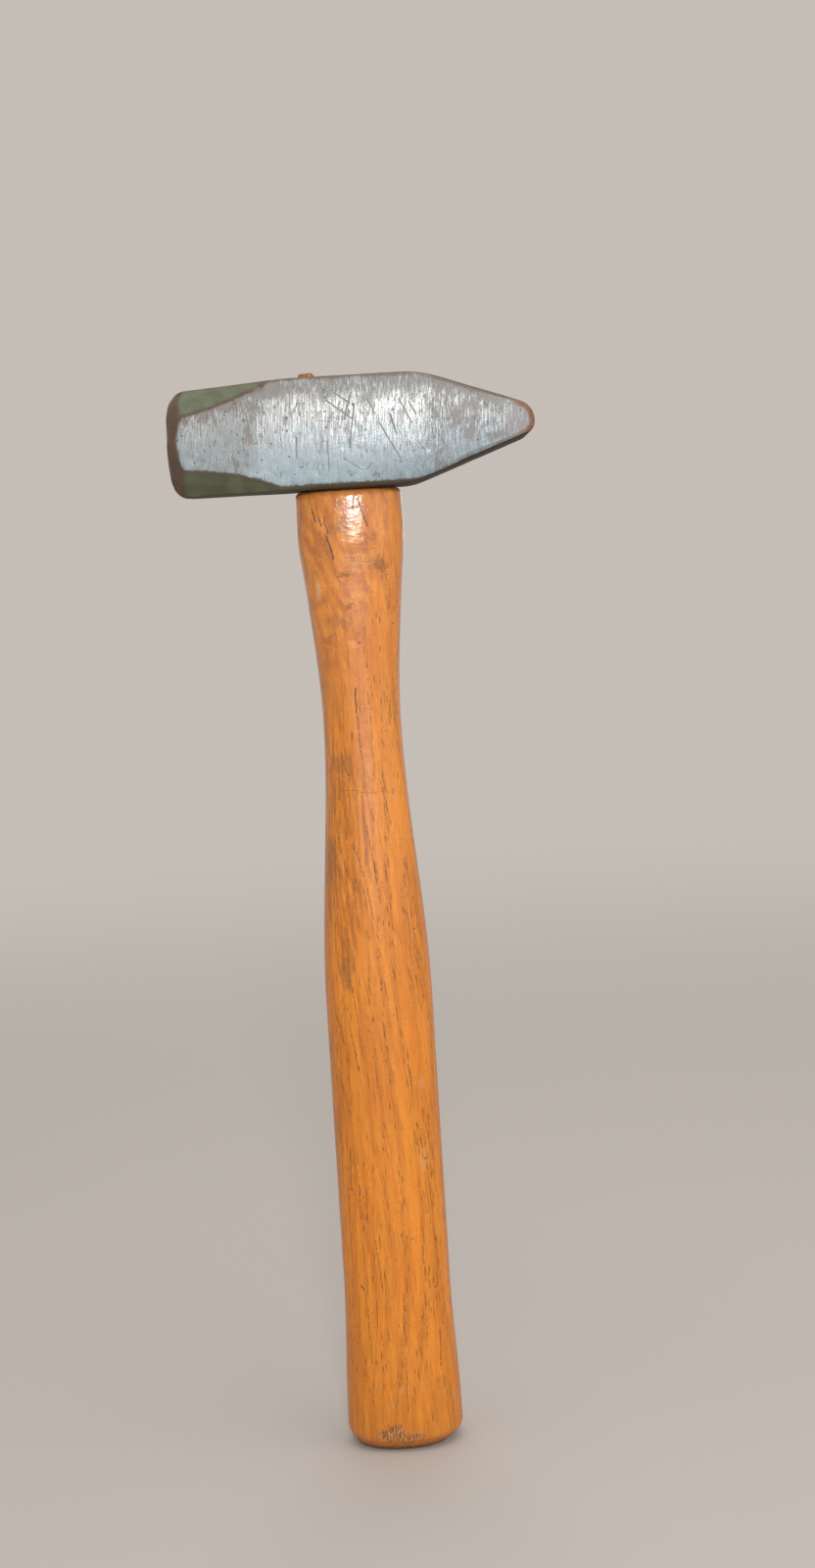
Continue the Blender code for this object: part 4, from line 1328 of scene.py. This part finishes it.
    # Gloss and relief
    matt = s.most(torn, grime, pale, shoulder, end)
    relief = s.sum(
        (-1.0, pores), (0.2, fibre), (-0.8, lined), (-2.0, cracks), (-0.8, scrapes),
        (0.8, s.product(torn, tuft)), (0.2, speck), (-1.0, nicks),
    )
    waves = s.product(s.noise((5.0, 5.0, 3.0), 3.0), s.ramp(s.z, 280.0, 325.0, 0.3, 1.0))
    normal = s.bump(waves, 0.00022, s.bump(relief, 0.00007))
    rough = s.sum((0.25, speck), 0.50, (0.2, matt))
    s.finish(Base_Color=wood, Roughness=rough, Normal=normal, IOR=1.45, Specular_IOR_Level=0.25)
    lacquer = s.blend(matt, s.ramp(s.z, 60.0, 260.0, 0.5, 1.0), 0.05)
    polish = s.ramp(s.z, 300.0, 318.0, 0.30, 0.20)
    return s.finish(Coat_Weight=lacquer, Coat_Roughness=polish, Coat_Normal=normal)


# Colours of the wedges
MAPLE = ((0.36, 0.19, 0.080), (0.56, 0.34, 0.17))
MAPLE_FLECK = (0.16, 0.08, 0.035)
MAPLE_GRIME = (0.16, 0.10, 0.06)
WEDGE_STEEL = (0.24, 0.22, 0.20)
WEDGE_RUST = (0.13, 0.075, 0.048)
WEDGE_GLINT = (0.32, 0.29, 0.26)


def wedge_wood_material():
    s = Shading("bare_maple")
    streak = s.noise((0.5, 3.0, 12.0), 3.0)
    fleck_far, (fleck_pick, *_) = s.cells((0.5, 0.5, 3.0))
    flecks = s.product(s.ramp(fleck_far, 0.35, 0.2), s.ramp(fleck_pick, 0.5, 0.6))
    wood = s.layers(
        s.mix(s.ramp(streak, 0.35, 0.65), *MAPLE),
        (flecks, 0.6, MAPLE_FLECK),
        (s.ramp(s.noise(2.2, 3.0), 0.5, 0.7), 0.6, MAPLE_GRIME),
    )
    normal = s.bump(s.sum(streak, (-0.8, flecks)), 0.0001)
    return s.finish(Base_Color=wood, Roughness=s.ramp(streak, 0.2, 0.8, 0.55, 0.75), Normal=normal)


def wedge_steel_material():
    s = Shading("hammered_wedge_steel")
    fine = s.noise(0.4, 3.0)
    patch = s.noise(2.0, 3.0)
    colour = s.mix(s.ramp(patch, 0.45, 0.65), WEDGE_STEEL, WEDGE_RUST)
    colour = s.mix(s.ramp(fine, 0.5, 0.8), colour, WEDGE_GLINT)
    rough = s.ramp(patch, 0.4, 0.7, 0.4, 0.75)
    metal = s.ramp(patch, 0.45, 0.65, 0.85, 0.2)
    return s.finish(Base_Color=colour, Metallic=metal, Roughness=rough, Normal=s.bump(fine, 0.00008))


# Stage, light and camera

BACKDROP = (0.56, 0.515, 0.475)
FLOOR_REACH = 8.0
FLOOR_FADE = (0.45, 1.6)
FLOOR_ROUGHNESS = 0.9
WORLD_COLOUR = (1.0, 0.985, 0.96)
WORLD_STRENGTH = 0.42
# Name, place, aim, size and power of each lamp
LAMPS = (
    ("key", (0.09, -1.5, 0.57), (0.0, 0.0, 0.25), 0.22, 11.2),
    ("overhead", (0.1, -0.1, 1.25), (0.0, 0.0, 0.2), 0.9, 4.5),
    ("fill", (1.1, -0.8, 0.45), (0.0, 0.0, 0.2), 1.4, 4.6),
    ("behind", (0.0, 1.5, 1.0), (0.0, 0.0, 0.2), 1.6, 7.0),
)

# Camera, fitted to the photograph's 832 x 1600 frame
IMAGE_HEIGHT = 1600
FOCAL_PIXELS = 2210.0
SENSOR = 36.0
AIM = (0.0, 0.0, 0.23348)
DISTANCE = 0.76
SIDE_STEP = 0.01464
# How far the lens stands above the middle of the frame, and its distance from the head's cheek
LENS_RISE = 0.055
CHEEK_DISTANCE = 0.7362
PITCH = math.radians(1.8)
ROLL = math.radians(3.536)


def make_world():
    world = bpy.data.worlds.new("studio")
    bpy.context.scene.world = world
    world.use_nodes = True
    n = Nodes(world.node_tree)
    light = n.tree.nodes["Background"]
    light = n.call(light, (*WORLD_COLOUR, 1.0), WORLD_STRENGTH, inputs=("Color", "Strength"))
    plain = n.call(n.add("Background"), (*BACKDROP, 1.0), inputs=("Color",))
    mixed = n.call(n.add("MixShader"), n.seen(), light, plain)
    n.feed(n.tree.nodes["World Output"].inputs["Surface"], mixed)


def make_floor():
    corners = [(x * FLOOR_REACH, y * FLOOR_REACH, 0.0) for x, y in ((-1, -1), (1, -1), (1, 1), (-1, 1))]
    mesh = bpy.data.meshes.new("floor")
    mesh.from_pydata(corners, [], [(0, 1, 2, 3)])
    floor = make_piece("floor", mesh)
    s = Shading("pale_floor")
    s.finish(Base_Color=BACKDROP, Roughness=FLOOR_ROUGHNESS, Specular_IOR_Level=0.0)
    plain = s.call(s.add("Emission"), (*BACKDROP, 1.0), inputs=("Color",))
    fade = s.ramp(s.length(s.place), FLOOR_FADE[0] / MM, FLOOR_FADE[1] / MM)
    mixed = s.call(s.add("MixShader"), s.product(fade, s.seen()), s.shader.outputs[0], plain)
    s.feed(s.tree.nodes["Material Output"].inputs["Surface"], mixed)
    mesh.materials.append(s.material)


def make_lamp(name, place, aim, size, power):
    lamp = bpy.data.lights.new(name, "AREA")
    lamp.size = size
    lamp.energy = power
    item = bpy.data.objects.new(name, lamp)
    item.location = place
    item.rotation_euler = (Vector(aim) - Vector(place)).to_track_quat("-Z", "Y").to_euler()
    bpy.context.scene.collection.objects.link(item)


def make_camera():
    forward = Vector((0.0, math.cos(PITCH), -math.sin(PITCH)))
    level = Vector((1.0, 0.0, 0.0))
    rise = level.cross(forward)
    right = math.cos(ROLL) * level - math.sin(ROLL) * rise
    up = math.sin(ROLL) * level + math.cos(ROLL) * rise
    place = Vector(AIM) - DISTANCE * forward + SIDE_STEP * right + LENS_RISE * up
    lens = bpy.data.cameras.new("camera")
    lens.sensor_width = SENSOR
    lens.lens = FOCAL_PIXELS / IMAGE_HEIGHT * SENSOR
    lens.shift_y = -LENS_RISE / CHEEK_DISTANCE * FOCAL_PIXELS / IMAGE_HEIGHT
    camera = bpy.data.objects.new("camera", lens)
    turn = Matrix((right, up, -forward)).transposed().to_4x4()
    camera.matrix_world = Matrix.Translation(place) @ turn
    bpy.context.scene.collection.objects.link(camera)
    bpy.context.scene.camera = camera


make_head(head_material())
make_handle(handle_material())
make_wood_wedge(wedge_wood_material())
wedge_steel = wedge_steel_material()
for word, side in WEDGE_SIDES.items():
    make_steel_wedge(side, word, wedge_steel)

make_world()
make_floor()
for lamp in LAMPS:
    make_lamp(*lamp)
make_camera()
bpy.context.scene.view_settings.view_transform = "Standard"
